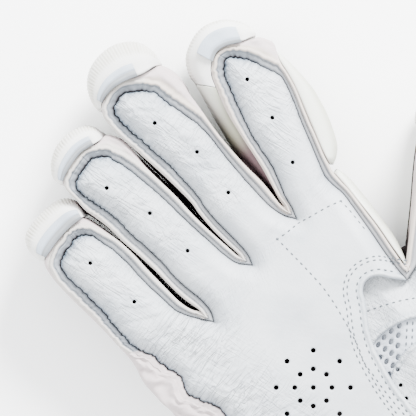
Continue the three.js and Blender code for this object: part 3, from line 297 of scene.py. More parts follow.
THUMB_ROOM = PALM_ROOM - THUMB_DROP
WEB = np.array([palm_x(WEB_SHARE[1]), palm_y(WEB_SHARE[0])])
THUMB_TURN = math.radians(THUMB_ANGLE)
THUMB_ALONG = np.array([math.sin(THUMB_TURN), math.cos(THUMB_TURN)])
THUMB_ACROSS = np.array([math.cos(THUMB_TURN), -math.sin(THUMB_TURN)])
THUMB_ROOT = WEB + THUMB_ACROSS * THUMB_IN


def thumb_rise(t):
    return THUMB_CURL * (np.maximum(0, t) / THUMB["length"]) ** 2


def thumb_place(x, t):
    """Flat place and lift of a point across and along the thumb."""
    x, t = np.broadcast_arrays(np.asarray(x, float), np.asarray(t, float))
    return THUMB_ROOT + x[..., None] * THUMB_ACROSS + t[..., None] * THUMB_ALONG, thumb_rise(t)


def thumb_outline(kind, t):
    """Left and right line of the thumb at a distance t from its root, and the start and depth of its tip."""
    start = TIP_START * THUMB["length"]
    at = np.minimum(t, start) / THUMB["length"]
    column = 1 if kind == "seam" else 3
    left = -THUMB["half"] * along(THUMB_OUTLINE, column, at)
    right = THUMB["half"] * along(THUMB_OUTLINE, column + 1, at)
    depth = THUMB["length"] - start + (0 if kind == "seam" else THUMB["lip"])
    return left, right, start, depth


def thumb_line(kind, ats, angles):
    """Points up the left side of the thumb, round its tip and down its right side."""
    power = SEAM_POWER if kind == "seam" else OUT_POWER
    left, right, start, depth = thumb_outline(kind, ats * THUMB["length"])
    up = np.stack([left, ats * THUMB["length"]], -1)
    down = np.stack([right, ats * THUMB["length"]], -1)[::-1]
    side = np.cos(angles)
    t = start + depth * np.sin(angles) ** (2 / power)
    tip_left, tip_right, _, _ = thumb_outline(kind, t)
    x = (tip_left + tip_right) / 2 - np.sign(side) * (tip_right - tip_left) / 2 * np.abs(side) ** (2 / power)
    return np.concatenate([up, np.stack([x, t], -1), down])


def spline(rows, step):
    """Smooth curve through rows of values, with points about step apart in the first two columns."""
    rows = np.asarray(rows, float)
    padded = np.vstack([2 * rows[0] - rows[1], rows, 2 * rows[-1] - rows[-2]])
    pieces = []
    for k in range(len(rows) - 1):
        p0, p1, p2, p3 = padded[k:k + 4]
        count = max(1, math.ceil(np.linalg.norm((p2 - p1)[:2]) / step))
        u = np.linspace(0, 1, count, endpoint=False)[:, None]
        pieces.append(0.5 * (2 * p1 + (p2 - p0) * u + (2 * p0 - 5 * p1 + 4 * p2 - p3) * u ** 2
                             + (3 * p1 - p0 - 3 * p2 + p3) * u ** 3))
    return np.vstack(pieces + [rows[-1:]])


def noise(x, y, seed):
    """Smooth random values from -1 to 1 on a grid of unit cells."""
    table = np.random.default_rng(seed).uniform(-1, 1, (256, 256))
    x0 = np.floor(x).astype(int)
    y0 = np.floor(y).astype(int)
    u = x - x0
    v = y - y0
    u = u * u * u * (u * (u * 6 - 15) + 10)
    v = v * v * v * (v * (v * 6 - 15) + 10)
    low = mix(table[x0 & 255, y0 & 255], table[(x0 + 1) & 255, y0 & 255], u)
    high = mix(table[x0 & 255, (y0 + 1) & 255], table[(x0 + 1) & 255, (y0 + 1) & 255], u)
    return mix(low, high, v)


def folds(x, y, angle, length, width, seed):
    """Long narrow ridges and hollows that run in one direction."""
    turn = math.radians(angle)
    u = x * math.cos(turn) + y * math.sin(turn)
    v = y * math.cos(turn) - x * math.sin(turn)
    v = v + 0.35 * length * noise(u / length, v / length, seed + 1)
    finer = noise(u / length * 1.7, v / width * 2.1, seed + 2)
    return (noise(u / length, v / width, seed) + 0.5 * finer) / 1.5


# The seam between leather and side walls. Columns of the control rows: leather's edge, widest line of the
# side wall, gathering, nearness to a fingertip, inner height, lift of the edge and lift of the wall's foot.
EDGE_STEP = 0.5
TIP_ANGLES = np.radians(np.arange(8, 180, 12))
SIDE_ATS = np.linspace(0.1, 0.86, 11)


def edge_row(seam, out, gather, tip, height, lift_seam, lift_out):
    return [*seam, *out, gather, tip, height, lift_seam, lift_out]


def hand_rows(rows):
    return [edge_row((sx, sy), (wx, wy), gather, tip, room(sy), rise(sy), rise(wy))
            for sx, sy, wx, wy, gather, tip in rows]


def thumb_rows():
    """Control rows from the thumb's left root round its tip to its right root, and the row at the tip."""
    seam = thumb_line("seam", SIDE_ATS, TIP_ANGLES)
    out = thumb_line("out", SIDE_ATS, TIP_ANGLES)
    sides = len(SIDE_ATS)
    rows = []
    for k in range(len(seam)):
        middle = sides <= k < sides + len(TIP_ANGLES)
        tip = math.sin(TIP_ANGLES[k - sides]) ** 0.7 if middle else 0
        pull = mix(0.5 * float(smooth(seam[k][1] / THUMB["length"], 0.5, 0.65)), 0.8, tip)
        flat_seam, lift_seam = thumb_place(*seam[k])
        flat_out, lift_out = thumb_place(*out[k])
        rows.append(edge_row(flat_seam, flat_out, pull, tip, THUMB_ROOM, lift_seam, lift_out))
    return rows, sides + len(TIP_ANGLES) // 2


def build_edge():
    """The whole seam, from the little finger's side of the wrist round the hand and thumb to the wrist."""
    runs = []
    tips = []
    run = hand_rows(PALM_SIDE)
    for k, name in enumerate(HAND_FINGERS):
        rows = hand_rows(FINGER_EDGES[name])
        tips.append((len(runs), len(run) + int(np.argmax([row[1] for row in rows]))))
        run.extend(rows)
        if k < len(CROTCHES):
            run.extend(hand_rows([CROTCHES[k]]))
            runs.append(run)
            run = [run[-1]]
    run.extend(hand_rows(INDEX_SIDE))
    web = hand_rows([(*WEB, palm_x(WEB_GAP["x"]), palm_y(WEB_GAP["at"]), 0, 0)])[0]
    run.append(web)
    runs.append(run)
    rows, tip = thumb_rows()
    tips.append((len(runs), 1 + tip))
    run = [web, *rows]
    for k in reversed(range(len(THENAR_ROWS))):
        row = THENAR_ROWS[k]
        ahead = THENAR_ROWS[min(k + 1, len(THENAR_ROWS) - 1)]["right"]
        behind = THENAR_ROWS[max(k - 1, 0)]["right"]
        way = np.array([palm_x(ahead[1]) - palm_x(behind[1]), palm_y(ahead[0]) - palm_y(behind[0])])
        away = np.array([way[1], -way[0]]) / np.linalg.norm(way) * row["side"]
        seam = np.array([palm_x(row["right"][1]), palm_y(row["right"][0])])
        out = seam + (away if k > 0 else [away[0], 0])
        height = mix(PALM_ROOM, THUMB_ROOM, k / len(THENAR_ROWS))
        run.append(edge_row(seam, out, 0.4, 0, height, 0, 0))
    runs.append(run)
    dense = []
    marks = []
    for number, rows in enumerate(runs):
        curve = spline(rows, EDGE_STEP)
        offset = sum(len(c) for c in dense)
        for where, control in tips:
            if where == number:
                spot = np.array(rows[control][0:2])
                marks.append(offset + int(np.argmin(np.linalg.norm(curve[:, 0:2] - spot, axis=1))))
        dense.append(curve if number == len(runs) - 1 else curve[:-1])
    return np.vstack(dense), marks, sum(len(c) for c in dense[:-1])


def line_length(points):
    return np.concatenate([[0], np.cumsum(np.linalg.norm(np.diff(points, axis=0), axis=1))])


def sideways(points):
    """Unit vectors to the right of a flat line's direction."""
    way = np.gradient(points, axis=0)
    away = np.stack([way[:, 1], -way[:, 0]], -1)
    return away / np.maximum(np.linalg.norm(away, axis=1), 1e-9)[:, None]


EDGE, TIPS, WEB_INDEX = build_edge()
SEAM = EDGE[:, 0:2]
OUT = EDGE[:, 2:4]
GATHER = np.clip(EDGE[:, 4], 0, 1)
TIPNESS = np.clip(EDGE[:, 5], 0, 1)
EDGE_LENGTH = line_length(SEAM)
INWARDS = sideways(SEAM)
SEAM = SEAM + INWARDS * (GATHER * (0.32 * noise(EDGE_LENGTH / 0.85, 0 * EDGE_LENGTH, 3)
                                   + 0.3 * noise(EDGE_LENGTH / 2.6, 0 * EDGE_LENGTH, 4)))[:, None]
OPENING_LINE = spline([(palm_x(x), palm_y(at)) for at, x in OPENING], EDGE_STEP)


class Nearest:
    """Distance from flat points to a line, and which of its points is nearest."""

    def __init__(self, line):
        self.tree = kdtree.KDTree(len(line))
        for k, (x, y) in enumerate(line):
            self.tree.insert((x, y, 0), k)
        self.tree.balance()

    def __call__(self, points):
        found = [self.tree.find((x, y, 0))[1:] for x, y in points]
        index, distance = zip(*found)
        return np.array(distance), np.array(index)


TO_SEAM = Nearest(SEAM)
TO_OPENING = Nearest(OPENING_LINE)
TO_OUT = Nearest(OUT)


# Meshes

def make_piece(name, points, faces, material, uv=None, values=None, tone=None):
    """A mesh in metres at the origin, with its own flat map in millimetres and named values on its points."""
    mesh = bpy.data.meshes.new(name)
    mesh.from_pydata((np.asarray(points) * MM).tolist(), [], [tuple(f) for f in faces])
    mesh.validate()
    if uv is not None:
        layer = mesh.uv_layers.new(name="flat")
        loops = np.empty(len(mesh.loops), np.int32)
        mesh.loops.foreach_get("vertex_index", loops)
        layer.data.foreach_set("uv", np.asarray(uv, np.float32)[loops].ravel())
    for key, value in (values or {}).items():
        attribute = mesh.attributes.new(key, "FLOAT", "POINT")
        attribute.data.foreach_set("value", np.asarray(value, np.float32))
    if tone is not None:
        paint(mesh, tone)
    mesh.materials.append(material)
    mesh.polygons.foreach_set("use_smooth", np.ones(len(mesh.polygons), bool))
    piece = bpy.data.objects.new(name, mesh)
    bpy.context.scene.collection.objects.link(piece)
    return piece


def paint(mesh, tone):
    """Stores a colour on each point. tone is one colour or one for each point."""
    colour = np.ones((len(mesh.vertices), 4), np.float32)
    colour[:, :3] = tone
    mesh.attributes.new("tone", "FLOAT_COLOR", "POINT").data.foreach_set("color", colour.ravel())


def grid_faces(rows, columns, closed=False):
    r = np.arange(rows - 1)[:, None]
    c = np.arange(columns if closed else columns - 1)[None, :]
    after = (c + 1) % columns
    faces = np.stack([r * columns + c, r * columns + after,
                      (r + 1) * columns + after, (r + 1) * columns + c], -1)
    return faces.reshape(-1, 4)


def rim_edges(faces):
    """Edges that only one face has, in that face's direction."""
    faces = np.asarray(faces)
    edges = np.concatenate([np.stack([faces[:, k], faces[:, (k + 1) % faces.shape[1]]], -1)
                            for k in range(faces.shape[1])])
    base = int(faces.max()) + 1
    key = edges[:, 0].astype(np.int64) * base + edges[:, 1]
    back = edges[:, 1].astype(np.int64) * base + edges[:, 0]
    return edges[~np.isin(key, back)]


def closed_sheet(outer, inner, faces):
    """Points and faces of a wall between an outer and an inner surface."""
    count = len(outer)
    faces = [tuple(f) for f in faces]
    back = [tuple(int(k) + count for k in reversed(f)) for f in faces]
    rim = [(int(b), int(a), int(a) + count, int(b) + count) for a, b in rim_edges(faces)]
    return np.vstack([outer, inner]), faces + back + rim


def enclosed(points, faces):
    """Signed volume under a set of four-sided faces."""
    total = 0.0
    for a, b, c, d in faces:
        total += points[a] @ np.cross(points[b], points[c]) + points[a] @ np.cross(points[c], points[d])
    return total


def inside_rows(polygon, y):
    """The stretches of a level line at y that lie inside a polygon."""
    a = polygon
    b = np.roll(polygon, -1, axis=0)
    crosses = (a[:, 1] > y) != (b[:, 1] > y)
    share = (y - a[crosses, 1]) / (b[crosses, 1] - a[crosses, 1])
    x = a[crosses, 0] + share * (b[crosses, 0] - a[crosses, 0])
    return np.sort(x)


def fill(polygon, spacing, holes=()):
    """Triangles over a flat shape with round or oval holes, from a regular field of points."""
    low = polygon.min(0)
    high = polygon.max(0)
    inner = []
    for k, y in enumerate(np.arange(low[1] + spacing / 2, high[1], spacing * 0.866)):
        ends = inside_rows(polygon, y)
        xs = np.arange(low[0] + (k % 2) * spacing / 2, high[0], spacing)
        inside = np.searchsorted(ends, xs) % 2 == 1
        inner.extend((x, y) for x in xs[inside])
    inner = np.array(inner)
    distance, _ = Nearest(polygon)(inner)
    inner = inner[distance > spacing * 0.55]
    for hole in holes:
        centre = hole.mean(0)
        reach = np.linalg.norm(hole - centre, axis=1).max() + spacing * 0.4
        inner = inner[np.linalg.norm(inner - centre, axis=1) > reach]
    loops = [polygon, *holes]
    edges = []
    offset = 0
    for loop in loops:
        edges.extend((offset + k, offset + (k + 1) % len(loop)) for k in range(len(loop)))
        offset += len(loop)
    points = np.vstack([*loops, inner])
    verts, _, faces, _, _, _ = geometry.delaunay_2d_cdt([Vector(p) for p in points], edges, [], 2, 1e-5)
    verts = np.array([tuple(v) for v in verts])
    faces = np.array([f for f in faces if len(f) == 3])
    middle = verts[faces].mean(1)
    keep = np.ones(len(faces), bool)
    for hole in holes:
        centre = hole.mean(0)
        reach = np.linalg.norm(hole - centre, axis=1).max()
        for k in np.nonzero(np.linalg.norm(middle - centre, axis=1) < reach)[0]:
            keep[k] = len(inside_rows(hole, middle[k, 1])) < 2 or not (
                np.searchsorted(inside_rows(hole, middle[k, 1]), middle[k, 0]) % 2)
    faces = faces[keep]
    a, b, c = (verts[faces[:, k]] for k in range(3))
    area = (b[:, 0] - a[:, 0]) * (c[:, 1] - a[:, 1]) - (b[:, 1] - a[:, 1]) * (c[:, 0] - a[:, 0])
    faces[area < 0] = faces[area < 0][:, ::-1]
    return verts, faces


def ring(centre, radius, stretch=1.0, turn=0.0, count=18):
    """A round or oval hole."""
    angle = np.linspace(0, 2 * math.pi, count, endpoint=False)
    x = radius * stretch * np.cos(angle)
    y = radius * np.sin(angle)
    return np.stack([centre[0] + x * math.cos(turn) - y * math.sin(turn),
                     centre[1] + x * math.sin(turn) + y * math.cos(turn)], -1)


def resampled(line, step):
    length = line_length(line)
    count = max(2, int(round(length[-1] / step)) + 1)
    at = np.linspace(0, length[-1], count)
    return np.stack([np.interp(at, length, line[:, k]) for k in range(line.shape[1])], -1)


# Materials

def tree_node(tree, kind, inputs=(), **settings):
    node = tree.nodes.new(kind)
    for key, value in settings.items():
        setattr(node, key, value)
    for key, value in dict(inputs).items():
        socket = node.inputs[key]
        if isinstance(value, bpy.types.NodeSocket):
            tree.links.new(value, socket)
        else:
            socket.default_value = value
    return node


def maths(tree, operation, *values):
    node = tree.nodes.new("ShaderNodeMath")
    node.operation = operation
    for k, value in enumerate(values):
        if isinstance(value, bpy.types.NodeSocket):
            tree.links.new(value, node.inputs[k])
        else:
            node.inputs[k].default_value = value
    return node.outputs[0]


def new_group(name, sockets, kind="ShaderNodeTree"):
    """An empty node group. sockets is a list of (name, direction, type, default)."""
    tree = bpy.data.node_groups.new(name, kind)
    for label, direction, socket_type, default in sockets:
        socket = tree.interface.new_socket(label, in_out=direction, socket_type=socket_type)
        if default is not None:
            socket.default_value = default
    enter = tree.nodes.new("NodeGroupInput")
    leave = tree.nodes.new("NodeGroupOutput")
    return tree, enter, leave


def grain_group():
    """Fine pebbled grain with soft pores, as a height and a mask."""
    tree, enter, leave = new_group("leather_grain", [
        ("Vector", "INPUT", "NodeSocketVector", None),
        ("Cells per metre", "INPUT", "NodeSocketFloat", 900),
        ("Height", "OUTPUT", "NodeSocketFloat", None),
        ("Mottle", "OUTPUT", "NodeSocketFloat", None)])
    cells = tree_node(tree, "ShaderNodeTexVoronoi", {"Vector": enter.outputs[0], "Scale": enter.outputs[1],
                                                    "Randomness": 1.0}, feature="SMOOTH_F1")
    finer = maths(tree, "MULTIPLY", enter.outputs[1], 2.3)
    pores = tree_node(tree, "ShaderNodeTexNoise", {"Vector": enter.outputs[0], "Scale": finer, "Detail": 3.0})
    coarse = maths(tree, "MULTIPLY", enter.outputs[1], 0.07)
    mottle = tree_node(tree, "ShaderNodeTexNoise",
                       {"Vector": enter.outputs[0], "Scale": coarse, "Detail": 4.0})
    height = maths(tree, "ADD", maths(tree, "MULTIPLY", cells.outputs["Distance"], -0.6),
                   maths(tree, "MULTIPLY", pores.outputs["Fac"], 0.5))
    tree.links.new(height, leave.inputs["Height"])
    tree.links.new(mottle.outputs["Fac"], leave.inputs["Mottle"])
    return tree


def crease_group():
    """Thin creases that run in one direction, as a height."""
    tree, enter, leave = new_group("creases", [
        ("Vector", "INPUT", "NodeSocketVector", None),
        ("Angle", "INPUT", "NodeSocketFloat", 0),
        ("Per metre along", "INPUT", "NodeSocketFloat", 80),
        ("Per metre across", "INPUT", "NodeSocketFloat", 500),
        ("Height", "OUTPUT", "NodeSocketFloat", None)])
    turned = tree_node(tree, "ShaderNodeVectorRotate",
                       {"Vector": enter.outputs[0], "Angle": enter.outputs[1]},
                       rotation_type="Z_AXIS")
    parts = tree_node(tree, "ShaderNodeSeparateXYZ", {"Vector": turned.outputs[0]})
    stretched = tree_node(tree, "ShaderNodeCombineXYZ", {
        "X": maths(tree, "MULTIPLY", parts.outputs[0], enter.outputs[2]),
        "Y": maths(tree, "MULTIPLY", parts.outputs[1], enter.outputs[3])})
    lines = tree_node(tree, "ShaderNodeTexNoise", {"Vector": stretched.outputs[0],
                                                  "Scale": 1.0, "Detail": 1.5,
                                                  "Distortion": 1.1})
    off = maths(tree, "ABSOLUTE", maths(tree, "SUBTRACT", lines.outputs["Fac"], 0.5))
    valley = tree_node(tree, "ShaderNodeMapRange", {"Value": off, "From Max": 0.14},
                       interpolation_type="SMOOTHSTEP")
    tree.links.new(valley.outputs["Result"], leave.inputs["Height"])
    return tree


def weave_group():
    """Crossing threads in a piece's flat map, as a height and a mask."""
    tree, enter, leave = new_group("weave", [
        ("Vector", "INPUT", "NodeSocketVector", None),
        ("Threads", "INPUT", "NodeSocketFloat", 1.6),
        ("Height", "OUTPUT", "NodeSocketFloat", None),
        ("Fuzz", "OUTPUT", "NodeSocketFloat", None)])
    parts = tree_node(tree, "ShaderNodeSeparateXYZ", {"Vector": enter.outputs[0]})
    turns = maths(tree, "MULTIPLY", enter.outputs[1], 2 * math.pi)
    across = maths(tree, "SINE", maths(tree, "MULTIPLY", parts.outputs[0], turns))
    along_it = maths(tree, "SINE", maths(tree, "MULTIPLY", parts.outputs[1], turns))
    knit = maths(tree, "MULTIPLY", across, along_it)
    fuzz = tree_node(tree, "ShaderNodeTexNoise", {"Vector": enter.outputs[0], "Scale": 1.1, "Detail": 5.0,
                                                 "Roughness": 0.65})
    height = maths(tree, "ADD", maths(tree, "MULTIPLY", knit, 0.35), fuzz.outputs["Fac"])
    tree.links.new(height, leave.inputs["Height"])
    tree.links.new(fuzz.outputs["Fac"], leave.inputs["Fuzz"])
    return tree


def wear_and_shade_group():
    """Mixes a finish with a second colour by worn blotches and by a value stored on the piece, which mostly
    paints shade.
    """
    tree, enter, leave = new_group("wear", [
        ("Vector", "INPUT", "NodeSocketVector", None),
        ("Colour", "INPUT", "NodeSocketColor", (0.8, 0.8, 0.8, 1)),
        ("Second colour", "INPUT", "NodeSocketColor", (0.6, 0.6, 0.6, 1)),
        ("Blotches per metre", "INPUT", "NodeSocketFloat", 40),
        ("Blotch amount", "INPUT", "NodeSocketFloat", 0.3),
        ("Shade", "INPUT", "NodeSocketFloat", 0),
        ("Shade amount", "INPUT", "NodeSocketFloat", 0),
        ("Colour", "OUTPUT", "NodeSocketColor", None)])
    blotches = tree_node(tree, "ShaderNodeTexNoise", {"Vector": enter.outputs["Vector"],
                                                     "Scale": enter.outputs["Blotches per metre"],
                                                     "Detail": 5.0, "Roughness": 0.55})
    level = tree_node(tree, "ShaderNodeMapRange", {"Value": blotches.outputs["Fac"], "From Min": 0.42,
                                                  "From Max": 0.72})
    patch = maths(tree, "MULTIPLY", level.outputs["Result"], enter.outputs["Blotch amount"])
    shade = maths(tree, "MULTIPLY", enter.outputs["Shade"], enter.outputs["Shade amount"])
    total = maths(tree, "MINIMUM", maths(tree, "ADD", patch, shade), 1.0)
    mixed = tree.nodes.new("ShaderNodeMix")
    mixed.data_type = "RGBA"
    tree.links.new(total, mixed.inputs[0])
    tree.links.new(enter.outputs["Colour"], mixed.inputs[6])
    tree.links.new(enter.outputs["Second colour"], mixed.inputs[7])
    tree.links.new(mixed.outputs[2], leave.inputs["Colour"])
    return tree


def finish_of(name, colour, second, rough, group, scale, bump,
              blotches=40, blotch_amount=0.3, shade_amount=0.0,
              coordinates="Object", bump_distance=0.0002, sheen=0.0, gloss=0.35, creased=False):
    """A material from the shared groups. Without a colour it takes the tone stored on the piece."""
    material = bpy.data.materials.new(name)
    material.use_nodes = True
    tree = material.node_tree
    shader = tree.nodes["Principled BSDF"]
    where = tree.nodes.new("ShaderNodeTexCoord")
    surface = tree_node(tree, "ShaderNodeGroup", {}, node_tree=bpy.data.node_groups[group])
    tree.links.new(where.outputs[coordinates], surface.inputs["Vector"])
    surface.inputs[1].default_value = scale
    # shade is a stored value of painted shade on most pieces: seams, folded edges, rib grooves and tape
    # steps.
    stored = tree_node(tree, "ShaderNodeAttribute", {}, attribute_name="shade")
    wear = tree_node(tree, "ShaderNodeGroup", {}, node_tree=bpy.data.node_groups["wear"])
    tree.links.new(where.outputs["Object"], wear.inputs["Vector"])
    tree.links.new(stored.outputs["Fac"], wear.inputs["Shade"])
    if colour is None:
        stored_tone = tree_node(tree, "ShaderNodeAttribute", {}, attribute_name="tone")
        tree.links.new(stored_tone.outputs["Color"], wear.inputs["Colour"])
        # Gloss follows the stored tone, so the highlights also dim where the tone is painted shade.
        shine = maths(tree, "MULTIPLY", stored_tone.outputs["Fac"], 2 * gloss)
        tree.links.new(shine, shader.inputs["Specular IOR Level"])
    else:
        wear.inputs["Colour"].default_value = (*colour, 1)
    wear.inputs["Second colour"].default_value = (*second, 1)
    wear.inputs["Blotches per metre"].default_value = blotches
    wear.inputs["Blotch amount"].default_value = blotch_amount
    wear.inputs["Shade amount"].default_value = shade_amount
    tree.links.new(wear.outputs["Colour"], shader.inputs["Base Color"])
    roughness = tree_node(tree, "ShaderNodeMapRange", {"Value": surface.outputs[1], "From Min": 0.3,
                                                      "From Max": 0.7, "To Min": rough - 0.07,
                                                      "To Max": rough + 0.08})
    tree.links.new(roughness.outputs["Result"], shader.inputs["Roughness"])
    relief = tree_node(tree, "ShaderNodeBump", {"Strength": bump, "Distance": bump_distance,
                                               "Height": surface.outputs["Height"]})
    tree.links.new(relief.outputs["Normal"], shader.inputs["Normal"])
    if creased:
        add_creases(tree, where, relief)
    shader.inputs["Specular IOR Level"].default_value = gloss
    shader.inputs["Sheen Weight"].default_value = sheen
    shader.inputs["Sheen Roughness"].default_value = 0.5
    return material


# Direction in degrees, creases per metre along and across, and depth in metres of each set.
CREASE_SETS = [("fold_slant", 78, 95, 430, 0.00036), ("fold_level", -6, 100, 520, 0.0003),
               ("fold_steep", 118, 110, 560, 0.00026)]


def add_creases(tree, where, relief):
    """Adds the sets of creases to a relief, each as strong as the piece's stored value."""
    total = None
    for key, angle, per_along, per_across, depth in CREASE_SETS:
        lines = tree_node(tree, "ShaderNodeGroup", {}, node_tree=bpy.data.node_groups["creases"])
        tree.links.new(where.outputs["Object"], lines.inputs["Vector"])
        lines.inputs["Angle"].default_value = math.radians(angle)
        lines.inputs["Per metre along"].default_value = per_along
        lines.inputs["Per metre across"].default_value = per_across
        stored = tree_node(tree, "ShaderNodeAttribute", {}, attribute_name=key)
        part = maths(tree, "MULTIPLY", lines.outputs["Height"], maths(tree, "MULTIPLY", stored.outputs["Fac"],
                                                                      depth / 0.0005))
        total = part if total is None else maths(tree, "ADD", total, part)
    deep = tree_node(tree, "ShaderNodeBump", {"Strength": 1.0, "Distance": 0.0005, "Height": total})
    tree.links.new(deep.outputs["Normal"], relief.inputs["Normal"])


FINISHES = {}


def make_finishes(colours):
    grain_group()
    weave_group()
    wear_and_shade_group()
    crease_group()
    FINISHES["leather"] = finish_of("palm_leather_white", colours.leather, colours.leather_shade, 0.55,
                                    "leather_grain", 1100, 0.3, 55, 0.25, 0.7, bump_distance=0.0003,
                                    creased=True)
    FINISHES["gusset"] = finish_of("gusset_cloth", None, colours.gusset_shade, 0.85, "weave", 1.7, 0.3,
                                   90, 0.06, 0.0, coordinates="UV", bump_distance=0.0002, gloss=0.08)
    FINISHES["guard"] = finish_of("guard_ivory", colours.guard, colours.guard_shade, 0.6,
                                  "leather_grain", 700,
                                  0.12, 60, 0.3, 0.5)
    FINISHES["tape"] = finish_of("binding_tape_grey", colours.tape, colours.tape_shade, 0.5,
                                 "weave", 2.4, 0.15,
                                 70, 0.3, 0.9, coordinates="UV")
    FINISHES["pad"] = finish_of("pad_cover_white", None, colours.pad_shade, 0.42, "leather_grain", 800,
                                0.16, 35, 0.05, 0.0)
    FINISHES["mesh"] = finish_of("spacer_mesh_grey", colours.mesh, colours.mesh_shade, 0.8, "weave", 1.5, 0.4,
                                 80, 0.3, 0.3, coordinates="UV")
    FINISHES["thread"] = finish_of("sewing_thread", colours.thread, colours.thread_shade, 0.6,
                                   "leather_grain",
                                   3000, 0.2, 200, 0.4)


# Leather panels

def panel_height(points, zone, wrinkle_depth):
    """Height of the leather over flat points: it swells from its seam, with gathers and folds near it."""
    distance, index = TO_SEAM(points)
    length = EDGE_LENGTH[index]
    gather = GATHER[index]
    tip = TIPNESS[index]
    x = points[:, 0]
    y = points[:, 1]
    if zone == "thumb":
        t = (points - THUMB_ROOT) @ THUMB_ALONG
        base = SHELL_TOP + mix(PALM_ROOM, THUMB_ROOM, smooth(t, -60, -5)) + thumb_rise(t)
        opening, _ = TO_OPENING(points)
        base = base - SINK * (1 - smooth(opening, TUCK, SINK_REACH))
    else:
        base = SHELL_TOP + room(y) + rise(y)
    crown = bpy.context.scene.glove_sizes.crown / MM
    share = np.minimum(1, distance / CROWN_REACH)
    height = crown * (1 - (1 - share) ** 2)
    crease = -1.5 * np.exp(-distance / 0.45) - 0.9 * tip * np.exp(-distance / 1.6)
    small = np.cos(2 * math.pi * length / 1.35 + 3 * noise(length / 4, distance / 6, 11))
    gathers = gather * (0.3 * small * np.exp(-distance / 1.2)
                        + 0.6 * noise(length / 1.9, distance / 11, 12) * np.exp(-distance / 4)
                        + 0.6 * noise(length / 4.2, distance / 16, 13) * np.exp(-distance / 8))
    fingers = smooth(y, CROTCH_Y + 12, CROTCH_Y + 30) if zone == "hand" else 0.6
    diagonal = folds(x, y, -45, 15, 1.9, 21) * (0.4 * fingers + 0.04)
    across = folds(x, y, 8, 14, 2.6, 24) * 0.3 * fingers
    heel = folds(x, y, -28, 22, 1.7, 31) * 0.35 * smooth(-x, 10, 45) * (1 - 0.6 * np.asarray(fingers))
    broad = 0.7 * noise(x / 17, y / 17, 41) + 0.25 * noise(x / 6, y / 6, 42) * (0.3 + np.asarray(fingers))
    settle = 1 - np.exp(-distance / 2.5)
    wrinkles = gathers + (diagonal + across + heel + broad) * settle
    return base + height + crease + wrinkle_depth * wrinkles, distance, tip, gather


def rounded_edge(distance, radius):
    """How far a folded edge drops near its free side."""
    inner = np.clip(radius - distance, 0, radius)
    return radius - np.sqrt(radius ** 2 - inner ** 2)


def free_edge(flat, away):
    """Height of the turned edge of a panel, and painted shade at the edge's fold and in its groove, by
    distance from the edge.
    """
    uneven = away + 0.3 * noise(flat[:, 0] / 2.4, flat[:, 1] / 2.4, 91)
    groove = np.exp(-((uneven - 1.9) / 0.3) ** 2)
    height = 0.8 * np.exp(-((uneven - 1.1) / 0.8) ** 2) - 1.1 * rounded_edge(away, 1.0) - 0.45 * groove
    return height, 0.55 * np.exp(-(uneven / 0.5) ** 2) + 0.6 * groove


def leather_panel(name, polygon, zone, spacing, holes=(), free=None, grooves=(), wall=LEATHER, drop=0.0,
                  finish="leather"):
    """A panel cut to a flat shape. free is its folded edge and grooves are lines where it is sewn flat."""
    sizes = bpy.context.scene.glove_sizes
    flat, faces = fill(polygon, spacing, holes)
    height, distance, tip, gather = panel_height(flat, zone, sizes.wrinkles)
    edge_height, edge_shade = free_edge(flat, Nearest(free)(flat)[0]) if free is not None else (0, 0)
    height = height + edge_height
    for line in grooves:
        away, _ = Nearest(line)(flat)
        height = height - 0.3 * np.exp(-(away / 0.5) ** 2)
    outer = np.column_stack([flat, height - drop])
    inner = outer - [0, 0, wall]
    # Painted shade, for leather and mesh panels alike: dark along the seam, more where it is gathered, a
    # broader band near the fingertips and patchy shade beside gathered seams, with the painted shade of the
    # folded edge added.
    shade = ((0.25 + 0.45 * gather) * np.exp(-distance / 0.9) + 0.3 * tip * np.exp(-distance / 3.5)
             + 0.3 * gather * np.exp(-distance / 4.5) * (1 + 0.8 * noise(EDGE_LENGTH[TO_SEAM(flat)[1]] / 1.6,
                                                                        distance / 6, 83)))
    shade = shade + edge_shade
    points, all_faces = closed_sheet(outer, inner, faces)
    values = {"shade": shade}
    if finish == "leather":
        values.update(crease_values(flat, distance, gather, zone))
    piece = make_piece(name, points, all_faces, FINISHES[finish], np.vstack([flat, flat]),
                       {key: np.tile(value, 2) for key, value in values.items()})
    return piece, surface_area(outer, faces)


def crease_values(flat, distance, gather, zone):
    """How strong each set of creases is at flat points."""
    x = flat[:, 0]
    y = flat[:, 1]
    if zone == "thumb":
        return {key: np.full(len(flat), 0.35) for key, *_ in CREASE_SETS}
    patches = 0.5 + 0.5 * noise(x / 9, y / 9, 81)
    other = 0.5 + 0.5 * noise(x / 8, y / 8, 82)
    fingers = smooth(y, 48, 72)
    knuckles = np.exp(-((y - 40) / 12) ** 2)
    heel = smooth(-x, 18, 42) * (1 - smooth(y, 40, 60))
    near = gather * np.exp(-distance / 5)
    slant = fingers * (0.25 + 0.75 * patches) + 0.6 * heel * other + 0.5 * near
    level = (1.6 * heel * (0.4 + 0.6 * patches) + 0.6 * fingers * other
             + 0.35 * knuckles * patches + 0.6 * near)
    steep = 0.45 * fingers * (1 - patches) + 0.3 * knuckles * other
    return {"fold_slant": np.clip(slant, 0.03, 1.2), "fold_level": np.clip(level, 0.03, 1.8),
            "fold_steep": np.clip(steep, 0.02, 1)}


def merge_into(piece, other):
    """Adds another piece's mesh to a piece and removes the other."""
    work = bmesh.new()
    work.from_mesh(piece.data)
    work.from_mesh(other.data)
    work.to_mesh(piece.data)
    work.free()
    bpy.data.objects.remove(other)


def surface_area(points, faces):
    faces = np.asarray(faces)
    total = 0
    for k in range(1, faces.shape[1] - 1):
        a, b, c = points[faces[:, 0]], points[faces[:, k]], points[faces[:, k + 1]]
        total += np.linalg.norm(np.cross(b - a, c - a), axis=1).sum() / 2
    return total * MM * MM


def hold(piece, slot, *nodes):
    """A finished piece rides with the glove and stands for its solids, which are hidden. slot is not used."""
    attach(piece, "root")
    if nodes:
        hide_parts(*nodes)
    return piece


